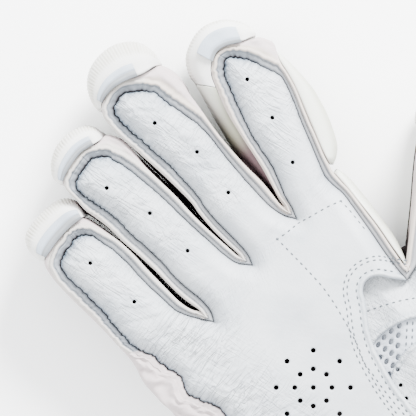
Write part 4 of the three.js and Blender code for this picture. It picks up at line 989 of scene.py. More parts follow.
def tucked(open_at):
    """Where a thenar seam ends, under the palm leather's free edge."""
    spots = [np.array([palm_x(x), palm_y(at)]) for at, x in OPENING]
    if open_at == 0:
        return spots[0] + [6 * GAP, -6 * GAP]
    way = spots[min(open_at + 1, len(spots) - 1)] - spots[open_at - 1]
    under = spots[open_at] + np.array([way[1], -way[0]]) / np.linalg.norm(way) * TUCK
    return np.array([under[0], WRIST_Y]) if open_at == len(spots) - 1 else under


def thenar_line(k):
    """A seam across the base of the thumb, from its left end to its right end."""
    row = THENAR_ROWS[k]
    left = tucked(row["open"])
    middle = np.array([palm_x(row["mid"][1]), palm_y(row["mid"][0])])
    right = np.array([palm_x(row["right"][1]), palm_y(row["right"][0])])
    s = np.linspace(0, 1, 60)[:, None]
    return (2 * s * s - 3 * s + 1) * left + (4 * s - 4 * s * s) * middle + (2 * s * s - s) * right


def seam_index(point):
    return int(TO_SEAM([point])[1][0])


HOLE_CENTRE = dict(x=-0.19, at=0.507)
HOLE_RING = 7.1


def air_holes(palm_radius, finger_radius):
    centre = np.array([palm_x(HOLE_CENTRE["x"]), palm_y(HOLE_CENTRE["at"])])
    holes = [ring(centre, palm_radius)]
    for circle in (1, 2):
        for k in range(8):
            turn = k * math.pi / 4
            reach = HOLE_RING * circle * 0.99
            holes.append(ring(centre + reach * np.array([math.cos(turn), math.sin(turn)]), palm_radius))
    holes.extend(ring(spot, finger_radius, count=14) for spot in FINGER_HOLES)
    return holes


class GLOVE_OT_palm(bpy.types.Operator):
    """Palm leather with its four finger fronts and air holes"""
    bl_idname = "glove.palm"
    bl_label = "Palm leather"

    def execute(self, context):
        sizes = context.scene.glove_sizes
        wrist = np.stack([np.linspace(OPENING_LINE[-1][0], SEAM[0][0], 140)[1:-1],
                          np.full(138, float(WRIST_Y))], -1)
        polygon = np.vstack([SEAM[:WEB_INDEX], OPENING_LINE, wrist])
        holes = air_holes(sizes.palm_hole / MM, sizes.finger_hole / MM)
        piece, area = leather_panel("palm_leather_panel", polygon, "hand", 0.72, holes, free=OPENING_LINE)
        hold(piece, "palm_leather", "palm_leather")
        return {"FINISHED"}


class GLOVE_OT_thumb(bpy.types.Operator):
    """Leather of the thumb and of its ball, and the spacer mesh between them"""
    bl_idname = "glove.thumb"
    bl_label = "Thumb leather and mesh"

    def execute(self, context):
        rows = [resampled(thenar_line(k), 0.6) for k in range(len(THENAR_ROWS))]
        last = len(SEAM) - 1
        thumb_side = seam_index(rows[MESH_FROM + 1][-1])
        heel_side = seam_index(rows[MESH_FROM][-1])
        under = spline([tucked(row["open"]) for row in THENAR_ROWS[MESH_FROM + 1:]], 0.6)
        polygon = np.vstack([SEAM[WEB_INDEX + 3:thumb_side], rows[MESH_FROM + 1][::-1], under[1:-1]])
        piece, area = leather_panel("thumb_leather_panel", polygon, "thumb", 0.8,
                                    free=rows[MESH_FROM + 1][4:])
        self.declare(piece, area, "thumb_leather", "palm_leather")
        under = spline([tucked(row["open"]) for row in THENAR_ROWS[:MESH_FROM + 1]], 0.6)
        polygon = np.vstack([SEAM[heel_side:last], rows[0][::-1], under[1:-1], rows[MESH_FROM]])
        holes = self.heel_holes(rows, context.scene.glove_sizes.finger_hole / MM)
        piece, area = leather_panel("thenar_leather_panel", polygon, "thumb", 0.8, holes,
                                    free=rows[MESH_FROM][4:], drop=0.2)
        self.declare(piece, area, "thenar_leather", "palm_leather")
        low = self.moved(rows[MESH_FROM], rows[MESH_FROM - 1])
        high = self.moved(rows[MESH_FROM + 1], rows[MESH_FROM + 2])
        polygon = np.vstack([low, resampled(np.array([low[-1], high[-1]]), 0.6)[1:-1], high[::-1],
                             resampled(np.array([high[0], low[0]]), 0.6)[1:-1]])
        piece, area = leather_panel("thumb_mesh_panel", polygon, "thumb", 0.6, self.mesh_gaps(low, high),
                                    wall=MESH_WALL, drop=LEATHER + 2 * GAP, finish="mesh")
        back, _ = leather_panel("mesh_back_layer", polygon, "thumb", 0.9, wall=MESH_BACK,
                                drop=LEATHER + 2 * GAP + MESH_GAP, finish="mesh")
        merge_into(piece, back)
        self.declare(piece, MESH_AREA * area, "thumb_mesh", "spacer_mesh")
        return {"FINISHED"}

    def declare(self, piece, area, node, slot):
        hold(piece, slot, node)

    def moved(self, row, other):
        way = other[np.linspace(0, len(other) - 1, len(row)).astype(int)] - row
        return row + way / np.linalg.norm(way, axis=1)[:, None] * TUCK

    def heel_holes(self, rows, radius):
        holes = []
        for across, share in ((0.16, 0.9), (0.1, 0.66), (0.06, 0.38)):
            low = rows[MESH_FROM - 1][int(across * len(rows[MESH_FROM - 1]))]
            high = rows[MESH_FROM][int(across * len(rows[MESH_FROM]))]
            holes.append(ring(mix(low, high, share), radius, count=14))
        return holes

    def mesh_gaps(self, low, high):
        """Rows of oval gaps, staggered like a honeycomb."""
        holes = []
        pitch = 3.7
        rows = 5
        wide = resampled(low, pitch)
        tall = resampled(high, pitch)
        count = min(len(wide), len(tall))
        for row in range(1, rows):
            for k in range(count - 1):
                a = mix(wide[k], wide[k + 1], 0.5 * (row % 2) + 0.15)
                b = mix(tall[k], tall[k + 1], 0.5 * (row % 2) + 0.15)
                spot = mix(a, b, row / rows)
                if spot[0] - spot[1] > MESH_TO:
                    continue
                holes.append(ring(spot, 0.85, 1.45, 0.4, 12))
        return holes


# Stitches

# Stitch rows on the palm leather: flat points, pitch and length of a stitch.
PATCH_ROW = [(6.3, 41), (6.2, 35), (6.1, 28), (5.9, 22), (5.5, 16), (4.5, 10), (3.3, 5), (2, 0), (0.5, -5),
             (-1.2, -10), (-3.5, -15), (-4.5, -21), (-5.5, -27), (-6.5, -36), (-7.2, -48), (-7.6, -58)]
PATCH_TOP = [(6.3, 41), (10, 40.3), (16, 39.5), (21, 38.2), (28, 36.3), (33.5, 34.2)]
PATCH_SIDE = [(33.5, 34), (33.4, 30), (33, 26), (32.4, 21)]
EDGE_ROWS = [2.6, 6.1, 7.5]
# Stitch rows on the thumb: flat points and how far each lies below the leather's surface.
THUMB_STITCHES = [([(11.5, -2.8), (17, -5.4), (22.5, -8.5), (29, -13)], 0.1),
                  ([(18.5, -16.5), (13, -21.5), (8, -26), (3.5, -30.5)], LEATHER + 2 * GAP + 0.05),
                  ([(20, -18), (14.5, -23), (9.5, -27.5), (5, -32)], LEATHER + 2 * GAP + 0.05)]
STITCH = dict(pitch=2.6, length=1.5, radius=0.36)


def stitch_tree():
    """Lays a rounded stitch at even steps along a curve."""
    tree, enter, leave = new_group("stitches", [
        ("Geometry", "INPUT", "NodeSocketGeometry", None),
        ("Pitch", "INPUT", "NodeSocketFloat", 0.0026),
        ("Stitch length", "INPUT", "NodeSocketFloat", 0.0013),
        ("Stitch radius", "INPUT", "NodeSocketFloat", 0.00024),
        ("Finish", "INPUT", "NodeSocketMaterial", None),
        ("Geometry", "OUTPUT", "NodeSocketGeometry", None)], "GeometryNodeTree")
    steps = tree_node(tree, "GeometryNodeCurveToPoints",
                      {"Curve": enter.outputs[0], "Length": enter.outputs[1]},
                      mode="LENGTH")
    bead = tree_node(tree, "GeometryNodeMeshUVSphere", {"Segments": 8, "Rings": 6, "Radius": 1.0})
    half = maths(tree, "MULTIPLY", enter.outputs[2], 0.5)
    size = tree_node(tree, "ShaderNodeCombineXYZ", {"X": enter.outputs[3], "Y": enter.outputs[3], "Z": half})
    laid = tree_node(tree, "GeometryNodeInstanceOnPoints", {"Points": steps.outputs["Points"],
                                                           "Instance": bead.outputs["Mesh"],
                                                           "Rotation": steps.outputs["Rotation"],
                                                           "Scale": size.outputs[0]})
    solid = tree_node(tree, "GeometryNodeRealizeInstances", {"Geometry": laid.outputs[0]})
    painted = tree_node(tree, "GeometryNodeSetMaterial", {"Geometry": solid.outputs[0],
                                                         "Material": enter.outputs["Finish"]})
    tree.links.new(painted.outputs[0], leave.inputs["Geometry"])
    return tree


def curve_of(name, lines):
    data = bpy.data.curves.new(name, "CURVE")
    data.dimensions = "3D"
    for line in lines:
        run = data.splines.new("POLY")
        run.points.add(len(line) - 1)
        for point, place in zip(run.points, line):
            point.co = (*(np.asarray(place) * MM), 1)
    piece = bpy.data.objects.new(name, data)
    bpy.context.scene.collection.objects.link(piece)
    return piece


def palm_rows():
    """Flat lines of the palm's stitches."""
    rows = [spline(line, 0.6) for line in (PATCH_ROW, PATCH_TOP, PATCH_SIDE)]
    away = sideways(OPENING_LINE)
    for reach in EDGE_ROWS:
        line = OPENING_LINE[4:] + away[4:] * reach
        distance, _ = TO_OPENING(line)
        seam, _ = TO_SEAM(line)
        clear = (distance > reach - 0.3) & (seam > 2.2) & (line[:, 1] > WRIST_Y + 2)
        rows.append(resampled(line[clear], 0.6))
    return rows


class GLOVE_OT_stitches(bpy.types.Operator):
    """Stitch rows on the palm and on the leather of the thumb"""
    bl_idname = "glove.stitches"
    bl_label = "Stitches"

    def execute(self, context):
        tree = stitch_tree()
        depth = context.scene.glove_sizes.wrinkles
        lines = []
        for flat in palm_rows():
            edge_height, _ = free_edge(flat, TO_OPENING(flat)[0])
            z = panel_height(flat, "hand", depth)[0] - 0.12 + np.maximum(edge_height, 0)
            lines.append(np.column_stack([flat, z]))
        self.sew("palm_stitches", lines, tree, "palm_leather")
        lines = []
        for row, drop in THUMB_STITCHES:
            flat = spline(row, 0.6)
            z = panel_height(flat, "thumb", depth)[0] - drop
            lines.append(np.column_stack([flat, z]))
        self.sew("thumb_stitches", lines, tree, "palm_leather")
        return {"FINISHED"}

    def sew(self, name, lines, tree, slot):
        curve = curve_of(name + "_path", lines)
        piece = applied(curve, tree, {"Pitch": STITCH["pitch"] * MM, "Stitch length": STITCH["length"] * MM,
                                      "Stitch radius": STITCH["radius"] * MM, "Finish": FINISHES["thread"]})
        piece.name = name
        bpy.data.objects.remove(curve)
        piece.data.polygons.foreach_set("use_smooth", np.ones(len(piece.data.polygons), bool))
        hold(piece, slot)


# Side walls

# Cross-section of a side wall from its seam outwards: distance from the seam and rise above it, a strip and
# a raised rim. Beyond the rim come shares of what is left of the width, then shares of the way down.
WALL_STRIP = [(-0.2, -2.8), (0.02, -2.3), (0.25, -1.4), (0.6, -0.8), (1.0, -0.55), (1.5, -0.45), (2.1, -0.5),
              (2.45, -0.8), (2.7, -0.2)]
WALL_RIM = [(2.95, 0.4), (3.35, 0.72), (3.8, 0.68), (4.2, 0.3), (4.5, -0.25)]
WALL_FAR = [(0.15, -0.35), (0.35, -0.45), (0.55, -0.65), (0.75, -1.1), (0.9, -1.8), (1.0, -3.0)]
WALL_DOWN = [0.1, 0.2, 0.3, 0.4, 0.5, 0.6, 0.7, 0.8, 0.9, 1.0]
RIM_END = 4.6
# Walls wider than this are lumpy.
LUMP_WIDTH = 6.5
# X beyond which the rim is tan, and the length of seam along the heel's side of the hand.
WALL_TAN_FROM = 16.0
PALM_SIDE_END = 110.0
# Y below which the strip starts to fade at the heel, and where it is whole.
HEEL_FADE = (42, 60)
# Two walls that face each other in a narrow gap each reach this far past its middle at the bottom, up to
# where the gap opens, in shares of the wall's length from its middle.
UNDER_PAST = 0.25
UNDER_ENDS = (0.37, 0.42)


def across_gap(index):
    """Distance from the outer edge to the neighbouring finger's, 0 where that is far, and how near it is."""
    apart = np.linalg.norm(OUT[index][:, None] - OUT[None], axis=2)
    apart[np.abs(EDGE_LENGTH[index][:, None] - EDGE_LENGTH[None]) < 14] = 99
    nearest = apart.min(axis=1)
    return nearest * (1 - smooth(nearest, 4.5, 6.0)), 1 - smooth(nearest, 7, 13)


def wall_profile(first, last, colours, depth_colour):
    """Rows of points of a side wall over a stretch of the seam, their colours and the length along it."""
    index = np.arange(first, last + 1)
    seam = SEAM[index]
    out = OUT[index]
    tip = TIPNESS[index]
    gather = GATHER[index]
    length = EDGE_LENGTH[index]
    high = SHELL_TOP + EDGE[index, 6] + EDGE[index, 7]
    low = SHELL_TOP + GAP + EDGE[index, 8]
    way = out - seam
    width = np.maximum(np.linalg.norm(way, axis=1), 2.6)
    unit = way / np.linalg.norm(way, axis=1)[:, None]
    wide = smooth(width, LUMP_WIDTH, LUMP_WIDTH + 3)
    width = width + wide * 0.9 * noise(length / 6.5, 0 * length, 54)
    tight = np.minimum(1, width / RIM_END)
    flat = np.zeros(len(index))
    strip = np.array(colours.strip)
    rim = mix(np.array(colours.rim), np.array(colours.rim_tan), (out[:, 0] > WALL_TAN_FROM)[:, None] * 0.8)
    side = np.array(colours.gusset)
    deep = np.array(colours.gusset_shade)
    bottom = np.array(depth_colour)
    heel = (1 - smooth(seam[:, 1], *HEEL_FADE)) * (length < PALM_SIDE_END)
    gap, near_next = across_gap(index)
    from_root = np.abs(length - length.mean()) / np.ptp(length)
    reach_under = (0.5 * gap + UNDER_PAST) * (gap > 0.1) * (1 - smooth(from_root, *UNDER_ENDS))
    mouth = smooth(from_root, 0.28, 0.4)[:, None]
    plain = np.maximum(0.85 * wide * (1 - smooth(tip, 0, 0.3)) * (length < PALM_SIDE_END), heel)
    columns = []
    for near, up in WALL_STRIP:
        sunk = tip * 0.9 * (1 - smooth(near, 1.2, 2.4))
        crimp = gather * 0.3 * noise(length / 1.0, flat + near * 0.5, 51)
        # Painted shade on the strip: a dark line along the seam, stronger where the leather is gathered, a
        # painted shadow of the rim near the fingertips and dark creases in the gathers.
        creases = 0.3 * gather * noise(length / 0.9, flat + near * 0.4, 56)
        dark = (float(1 - smooth(near, 0.0, 0.9)) * (0.32 + 0.42 * gather)
                + 0.45 * tip * float(1 - smooth(near, 0.6, 2.0)) + creases)
        dark = np.clip(dark, 0, 1)[:, None]
        base = mix(mix(strip, rim, 0.25 * (1 - gather)[:, None]), side, heel[:, None])
        dark = dark * (1 - 0.8 * heel[:, None] * float(smooth(near, 0.2, 0.8)))
        flush = 1 - 0.8 * heel * float(smooth(near, 0.2, 0.8))
        columns.append((near * tight, high + up * flush - sunk + crimp, mix(base, deep, dark)))
    for near, up in WALL_RIM:
        tone = mix(strip, rim, float(smooth(near, 2.6, 3.1))) if near < 3.2 else rim
        tone = mix(tone, side, plain[:, None])
        fold = plain * noise(length / 3.0, flat + near / 2.5, 57)
        z = high + up * (1 - plain) + 0.1 * noise(length / 3, flat + near, 55) + fold
        columns.append((near * tight, z, tone))
    rest = np.maximum(0, width - RIM_END * tight)
    for share, up in WALL_FAR:
        bump = (0.12 + 1.3 * wide) * math.sin(math.pi * share) * noise(length / 4, flat + share * 2.5, 52)
        tone = mix(rim, side, np.maximum(float(smooth(share, 0.1, 0.4)), plain)[:, None])
        stain = np.clip(noise(length / 2.2, flat + share * 4, 58) - 0.55, 0, 1) * wide
        tone = mix(tone, np.array(colours.mauve), stain[:, None])
        columns.append((RIM_END * tight + rest * share, high + up + bump, tone))
    for share in WALL_DOWN:
        swell = math.sin(math.pi * share)
        bulge = (0.1 + 0.8 * wide * (0.5 + noise(length / 7, flat + share * 3, 53))) * swell
        # Painted shade: down the walls in a narrow gap the cloth turns near black by the crotch and mauve
        # further out, where the next finger is near.
        within = mix(bottom, np.array(colours.mauve), 0.8 * mouth)
        tone = mix(side, within, float(smooth(share, -0.12, 0.26)) * near_next[:, None])
        under = reach_under * float(smooth(share, 0.55, 0.95))
        columns.append((width + bulge - 0.4 * share + under, mix(high - 3.0, low, share), tone))
    points = np.stack([np.column_stack([seam + unit * reach[:, None], z]) for reach, z, _ in columns], 1)
    tones = np.stack([np.broadcast_to(tone, (len(index), 3)) for _, _, tone in columns], 1)
    return points, tones, length


def smooth_rows(points, times):
    """Evens out each cross-section but keeps its ends."""
    even = points.copy()
    for _ in range(times):
        even[:, 1:-1] = (even[:, :-2] + 2 * even[:, 1:-1] + even[:, 2:]) / 4
    return even


def grid_normals(points):
    du = np.gradient(points, axis=0)
    dv = np.gradient(points, axis=1)
    normal = np.cross(du, dv)
    return normal / np.maximum(np.linalg.norm(normal, axis=2), 1e-9)[..., None]


def finer_columns(points, factor):
    """More points along each cross-section, on a smooth curve."""
    count = points.shape[1]
    at = np.linspace(0, count - 1, (count - 1) * factor + 1)
    k = np.clip(np.floor(at).astype(int), 0, count - 2)
    u = (at - k)[None, :, None]
    before = 2 * points[:, :1] - points[:, 1:2]
    beyond = 2 * points[:, -1:] - points[:, -2:-1]
    padded = np.concatenate([before, points, beyond], 1)
    p0, p1, p2, p3 = (padded[:, k + j] for j in range(4))
    return 0.5 * (2 * p1 + (p2 - p0) * u + (2 * p0 - 5 * p1 + 4 * p2 - p3) * u ** 2
                  + (3 * p1 - p0 - 3 * p2 + p3) * u ** 3)


class GLOVE_OT_walls(bpy.types.Operator):
    """Fourchettes between the fingers and the side walls of the hand and thumb"""
    bl_idname = "glove.walls"
    bl_label = "Side walls"

    def execute(self, context):
        names = ["side_wall_little", "fourchette_little_ring", "fourchette_ring_middle",
                 "fourchette_middle_index", "fourchette_index_thumb", "side_wall_thumb"]
        stops = [0, *TIPS, len(SEAM) - 1]
        colours = context.scene.glove_colours
        for k, name in enumerate(names):
            # Painted shade low in the gaps: mauve in the open gap beside the index finger, near black in the
            # others.
            bottom = colours.mauve if name == "fourchette_middle_index" else colours.gusset_shade
            points, tones, length = wall_profile(stops[k], stops[k + 1], colours, bottom)
            points = finer_columns(points, 2)
            tones = np.clip(finer_columns(tones, 2), 0, 1).reshape(-1, 3)
            rows, columns = points.shape[:2]
            even = smooth_rows(points, 6)
            normal = grid_normals(even)
            inner = even - normal * np.sign((normal[:, 8:12, 2]).mean()) * WALL
            faces = grid_faces(rows, columns)
            if normal[:, 8:12, 2].mean() < 0:
                faces = faces[:, ::-1]
            across = np.concatenate([np.zeros((rows, 1)),
                                     np.cumsum(np.linalg.norm(np.diff(points, axis=1), axis=2), axis=1)], 1)
            uv = np.stack([np.broadcast_to(length[:, None], across.shape), across], -1).reshape(-1, 2)
            all_points, all_faces = closed_sheet(points.reshape(-1, 3), inner.reshape(-1, 3), faces)
            piece = make_piece(f"{name}_cloth", all_points, all_faces, FINISHES["gusset"],
                               np.vstack([uv, uv]), tone=np.vstack([tones, tones]))
            hold(piece, "gusset_fabric", name)
        return {"FINISHED"}


# Fingertip guards and tapes

CAP_POWER = 2.5
# Reach over which a guard thins out towards its last end.
CAP_TAIL = {"little": 3.0, "ring": 6.0, "middle": 11.0, "index": 8.0, "thumb": 2.5}
CAP_SINK = 1.6
CAP_FLOOR = 1.0
# The built tapes are 3.8 to 7 mm wide: a declared side has to be 10 mm or more.
# Where a tape's raised outer part begins, as a share of its width.
TAPE_STEP = 0.42
TAPE_STEP_INDEX = 0.15
# Share of a guard's width that its tape covers, and the shares of its length where the tape ends.
TAPE_SHARE = {"little": 0.45, "ring": 0.42, "middle": 0.34, "index": 0.62, "thumb": 0.4}
TAPE_ENDS = {"little": (0.17, 0.9), "ring": (0.1, 0.8), "middle": (0.14, 0.68), "index": (0.3, 0.78),
             "thumb": (0.2, 0.8)}
CAP_SECTION = [(0.0, 1.0), (0.12, 1.0), (0.25, 1.0), (0.4, 0.995), (0.55, 0.98), (0.7, 0.94), (0.84, 0.86),
               (0.94, 0.74), (0.99, 0.58), (1.0, 0.42), (0.985, 0.26), (0.93, 0.11), (0.82, 0.02),
               (0.65, 0.0),
               (0.4, 0.0), (0.0, 0.0)]


def thumb_guard_lines():
    """Inner and outer line of the thumb's guard."""
    left, right, start, depth = thumb_outline("out", TIP_START * THUMB["length"])
    angles = np.radians(np.linspace(6, 174, 15))
    front = np.sin(angles)
    side = np.cos(angles)

    def ring_at(middle, half, reach, power):
        t = start + reach * front ** (2 / power)
        return thumb_place(middle - np.sign(side) * half * np.abs(side) ** (2 / power), t)[0]

    inner = ring_at((left + right) / 2, (right - left) / 2 + GAP, depth + GAP, OUT_POWER)
    outer = ring_at((left + right) / 2, THUMB["cap_half"], depth + THUMB["cap_depth"], CAP_POWER)
    return np.hstack([inner, outer])


def band_lines(name):
    """Dense inner and outer line of a guard or pad, and their lift and the distance along them."""
    if name == "thumb":
        lines = spline(thumb_guard_lines(), 0.25)
        lift = thumb_rise((lines[:, 2:4] - THUMB_ROOT) @ THUMB_ALONG)
    else:
        lines = spline((GUARD_LINES | PAD_LINES)[name], 0.25)
        if name in GUARD_LINES:
            way = lines[:, 2:4] - lines[:, 0:2]
            lines[:, 2:4] += 0.6 * way / np.linalg.norm(way, axis=1)[:, None]
        lift = rise(lines[:, 3])
    return lines, lift, line_length(lines[:, 2:4])


def end_taper(length, first, last):
    """Rounds off the two ends of a band over a reach at each."""
    share = np.clip(np.minimum(length / first, (length[-1] - length) / last), 0, 1)
    return np.sqrt(1 - (1 - share) ** 2)


def rib_tree():
    """Raises even ribs along a stored distance, where a stored mask allows it."""
    tree, enter, leave = new_group("ribs", [
        ("Geometry", "INPUT", "NodeSocketGeometry", None),
        ("Pitch", "INPUT", "NodeSocketFloat", 0.0013),
        ("Depth", "INPUT", "NodeSocketFloat", 0.0002),
        ("Finish", "INPUT", "NodeSocketMaterial", None),
        ("Geometry", "OUTPUT", "NodeSocketGeometry", None)], "GeometryNodeTree")
    around = tree_node(tree, "GeometryNodeInputNamedAttribute", {"Name": "around"}, data_type="FLOAT")
    ribbed = tree_node(tree, "GeometryNodeInputNamedAttribute", {"Name": "ribbed"}, data_type="FLOAT")
    turns = maths(tree, "DIVIDE", around.outputs["Attribute"], enter.outputs["Pitch"])
    wave = maths(tree, "SINE", maths(tree, "MULTIPLY", turns, math.pi))
    ridge = maths(tree, "POWER", maths(tree, "ABSOLUTE", wave), 0.6)
    lift = maths(tree, "MULTIPLY", maths(tree, "MULTIPLY", ridge, ribbed.outputs["Attribute"]),
                 enter.outputs["Depth"])
    normal = tree.nodes.new("GeometryNodeInputNormal")
    offset = tree_node(tree, "ShaderNodeVectorMath", {0: normal.outputs[0]}, operation="SCALE")
    tree.links.new(lift, offset.inputs["Scale"])
    moved = tree_node(tree, "GeometryNodeSetPosition", {"Geometry": enter.outputs["Geometry"],
                                                       "Offset": offset.outputs[0]})
    solid = tree_node(tree, "GeometryNodeRealizeInstances", {"Geometry": moved.outputs[0]})
    painted = tree_node(tree, "GeometryNodeSetMaterial", {"Geometry": solid.outputs[0],
                                                         "Material": enter.outputs["Finish"]})
    tree.links.new(painted.outputs[0], leave.inputs["Geometry"])
    return tree


def applied(piece, tree, values):
    """Runs a node tree on a piece and keeps the result as its plain mesh."""
    modifier = piece.modifiers.new("nodes", "NODES")
    modifier.node_group = tree
    for item in tree.interface.items_tree:
        if item.in_out == "INPUT" and item.name in values:
            modifier[item.identifier] = values[item.name]
    bpy.context.view_layer.update()
    graph = bpy.context.evaluated_depsgraph_get()
    mesh = bpy.data.meshes.new_from_object(piece.evaluated_get(graph), preserve_all_data_layers=True,
                                           depsgraph=graph)
    piece.modifiers.remove(modifier)
    if piece.type == "MESH":
        piece.data = mesh
        return piece
    made = bpy.data.objects.new(piece.name + "_made", mesh)
    bpy.context.scene.collection.objects.link(made)
    return made


class GLOVE_OT_guards(bpy.types.Operator):
    """Ribbed guards round the fingertips and the tapes that bind them"""
    bl_idname = "glove.guards"
    bl_label = "Fingertip guards"

    def execute(self, context):
        sizes = context.scene.glove_sizes
        ribs = rib_tree()
        for name in [*HAND_FINGERS, "thumb"]:
            self.cap(name, ribs, sizes)
            self.tab(name)
        return {"FINISHED"}

    def height(self, name):
        inner = THUMB_ROOM if name == "thumb" else FINGER_ROOM
        return SHELL_TOP + inner - CAP_SINK - CAP_FLOOR

    def cap(self, name, ribs, sizes):
        lines, lift, length = band_lines(name)
        profile = np.clip(finer_columns(np.array(CAP_SECTION)[None], 2)[0], 0, 1)
        height = self.height(name)
        taper = end_taper(length, 0.1 if name == "index" else 2.5, CAP_TAIL[name])
        rows = []
        for out, up in profile:
            flat = mix(lines[:, 0:2], lines[:, 2:4], out * mix(0.35, 1, taper)[:, None])
            top = up * height * mix(0.7, 1, taper)
            lumps = noise(length / 9, np.full(len(length), out * 2.0), 61)
            swell = 0.35 * lumps * math.sin(math.pi * up) ** 2
            rows.append(np.column_stack([flat, CAP_FLOOR + top + lift + swell]))
        points = np.stack(rows, 1)
        count = points.shape[1]
        faces = [tuple(f) for f in grid_faces(len(points), count, closed=True)]
        faces.append(tuple(range(count)))
        faces.append(tuple((len(points) - 1) * count + k for k in reversed(range(count))))
        mesh_points = points.reshape(-1, 3)
        if enclosed(mesh_points, faces[:-2]) < 0:
            faces = [tuple(reversed(f)) for f in faces]
        distance = length[:, None] + 0 * points[..., 0]
        edge = smooth(distance, 1, 4) * smooth(length[-1] - distance, 1, 4)
        band = TAPE_SHARE[name] + 0.2
        ribbed = smooth(profile[:, 0], band, band + 0.12) * smooth(profile[:, 1], 0.02, 0.2) * edge
        # Painted shade: darker low on each guard and in the grooves between the ribs; the ribbed band as a
        # whole is also drawn towards the second colour.
        groove = 1 - np.abs(np.sin(math.pi * distance * MM / sizes.rib_pitch)) ** 0.6
        shade = 0.35 * (1 - profile[:, 1]) + 1.5 * groove * ribbed + 0.45 * ribbed
        piece = make_piece(f"guard_{name}", mesh_points, faces, FINISHES["guard"],
                           np.stack([distance, profile[:, 0] * 10 + 0 * distance], -1).reshape(-1, 2),
                           {"around": (distance * MM).ravel(), "ribbed": ribbed.ravel(),
                            "shade": shade.ravel()})
        applied(piece, ribs, {"Pitch": sizes.rib_pitch, "Depth": sizes.rib_depth,
                              "Finish": FINISHES["guard"]})
        hold(piece, "ribbed_guard", f"cap_{name}")

    def tab(self, name):
        lines, lift, length = band_lines(name)
        first, last = TAPE_ENDS[name]
        keep = (length >= first * length[-1]) & (length <= last * length[-1])
        lines, lift, length = lines[keep], lift[keep], length[keep]
        rows = []
        fold = TAPE_STEP_INDEX if name == "index" else TAPE_STEP
        for share in np.linspace(-0.1, 1, 18):
            flat = mix(lines[:, 0:2], lines[:, 2:4], share * TAPE_SHARE[name])
            step = (-0.45 * math.exp(-((share - fold) / 0.07) ** 2)
                    - 0.25 * float(smooth(fold - share, 0, 0.1)))
            lean = 0.55 * (1 - share) - 0.5 * max(0.0, 0.12 - share) * 8 - 0.3 * max(0.0, share - 0.9) * 10
            wave = 0.12 * noise(length / 6, np.full(len(length), share * 2), 63)
            z = CAP_FLOOR + self.height(name) + GAP + TAB_WALL + lean + step + wave
            rows.append(np.column_stack([flat, z + lift]))
        points = np.stack(rows, 1)
        normal = grid_normals(points)
        sign = np.sign(normal[..., 2].mean())
        faces = grid_faces(*points.shape[:2])
        if sign < 0:
            faces = faces[:, ::-1]
        inner = points - [0, 0, TAB_WALL]
        all_points, all_faces = closed_sheet(points.reshape(-1, 3), inner.reshape(-1, 3), faces)
        across = np.linspace(0, 6, points.shape[1])[None, :] + 0 * points[..., 0]
        uv = np.stack([length[:, None] + 0 * across, across], -1).reshape(-1, 2)
        share = across / 6
        # Painted shade: a dark line along the tape's step and a darker band on its lower inner side.
        shade = 1.1 * np.exp(-((share - fold) / 0.06) ** 2) + 0.9 * smooth(fold - share, 0, 0.1)
        piece = make_piece(f"tape_{name}", all_points, all_faces, FINISHES["tape"], np.vstack([uv, uv]),
                           {"shade": np.tile(shade.ravel(), 2)})
        hold(piece, "binding_tape", f"tab_{name}")


# Foam rolls and side pads

def cad_copy(node):
    """A copy of a solid with its doubled points merged."""
    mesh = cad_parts[node].data.copy()
    mesh.materials.clear()
    work = bmesh.new()
    work.from_mesh(mesh)
    bmesh.ops.remove_doubles(work, verts=work.verts, dist=1e-6)
    work.to_mesh(mesh)
    work.free()
    piece = bpy.data.objects.new(node + "_cover", mesh)
    bpy.context.scene.collection.objects.link(piece)
    return piece


def apply_modifiers(piece):
    graph = bpy.context.evaluated_depsgraph_get()
    mesh = bpy.data.meshes.new_from_object(piece.evaluated_get(graph), depsgraph=graph)
    piece.modifiers.clear()
    piece.data = mesh


def positions(mesh):
    points = np.empty(len(mesh.vertices) * 3)
    mesh.vertices.foreach_get("co", points)
    return points.reshape(-1, 3)


def set_positions(mesh, points):
    mesh.vertices.foreach_set("co", points.ravel())
    mesh.update()


PAD_VOXEL = 2.6
PAD_SHRINK = 0.5
PAD_SWELL_LIMIT = 1.3
SIM_FRAMES = 14


def swell_pads(pieces):
    """Blows up the covers a little, as foam fills them, and keeps each near its own solid."""
    starts = []
    for piece in pieces:
        remesh = piece.modifiers.new("even", "REMESH")
        remesh.mode = "VOXEL"
        remesh.voxel_size = PAD_VOXEL * MM
        apply_modifiers(piece)
        points = positions(piece.data)
        normals = np.empty(len(points) * 3)
        piece.data.vertices.foreach_get("normal", normals)
        set_positions(piece.data, points - normals.reshape(-1, 3) * PAD_SHRINK * MM)
        starts.append(positions(piece.data))
    for piece in pieces:
        cloth = piece.modifiers.new("cover", "CLOTH")
        cloth.settings.use_pressure = True
        cloth.settings.uniform_pressure_force = 4
        cloth.settings.effector_weights.gravity = 0
        cloth.settings.quality = 3
        cloth.collision_settings.use_collision = False
        cloth.point_cache.frame_start = 1
        cloth.point_cache.frame_end = SIM_FRAMES
    for number in range(1, SIM_FRAMES + 1):
        bpy.context.scene.frame_set(number)
    for piece in pieces:
        apply_modifiers(piece)
    bpy.context.scene.frame_set(1)
    for piece, start in zip(pieces, starts):
        points = positions(piece.data)
        moved = points - start
        far = np.linalg.norm(moved, axis=1)
        limit = PAD_SWELL_LIMIT * MM
        scale = limit * np.tanh(far / limit) / np.maximum(far, 1e-9)
        set_positions(piece.data, start + moved * scale[:, None])
        finer = piece.modifiers.new("finer", "SUBSURF")
        finer.levels = 1
        finer.render_levels = 1
        apply_modifiers(piece)
        piece.data.polygons.foreach_set("use_smooth", np.ones(len(piece.data.polygons), bool))


# Cross-section of a side pad: share of its width and of its height.
PAD_SECTION = [(0.0, 0.93), (0.04, 0.98), (0.15, 1.0), (0.35, 1.0), (0.55, 0.97), (0.75, 0.9), (0.9, 0.78),
               (0.98, 0.62), (1.0, 0.45), (0.97, 0.25), (0.88, 0.1), (0.7, 0.02), (0.4, 0.0), (0.0, 0.05)]


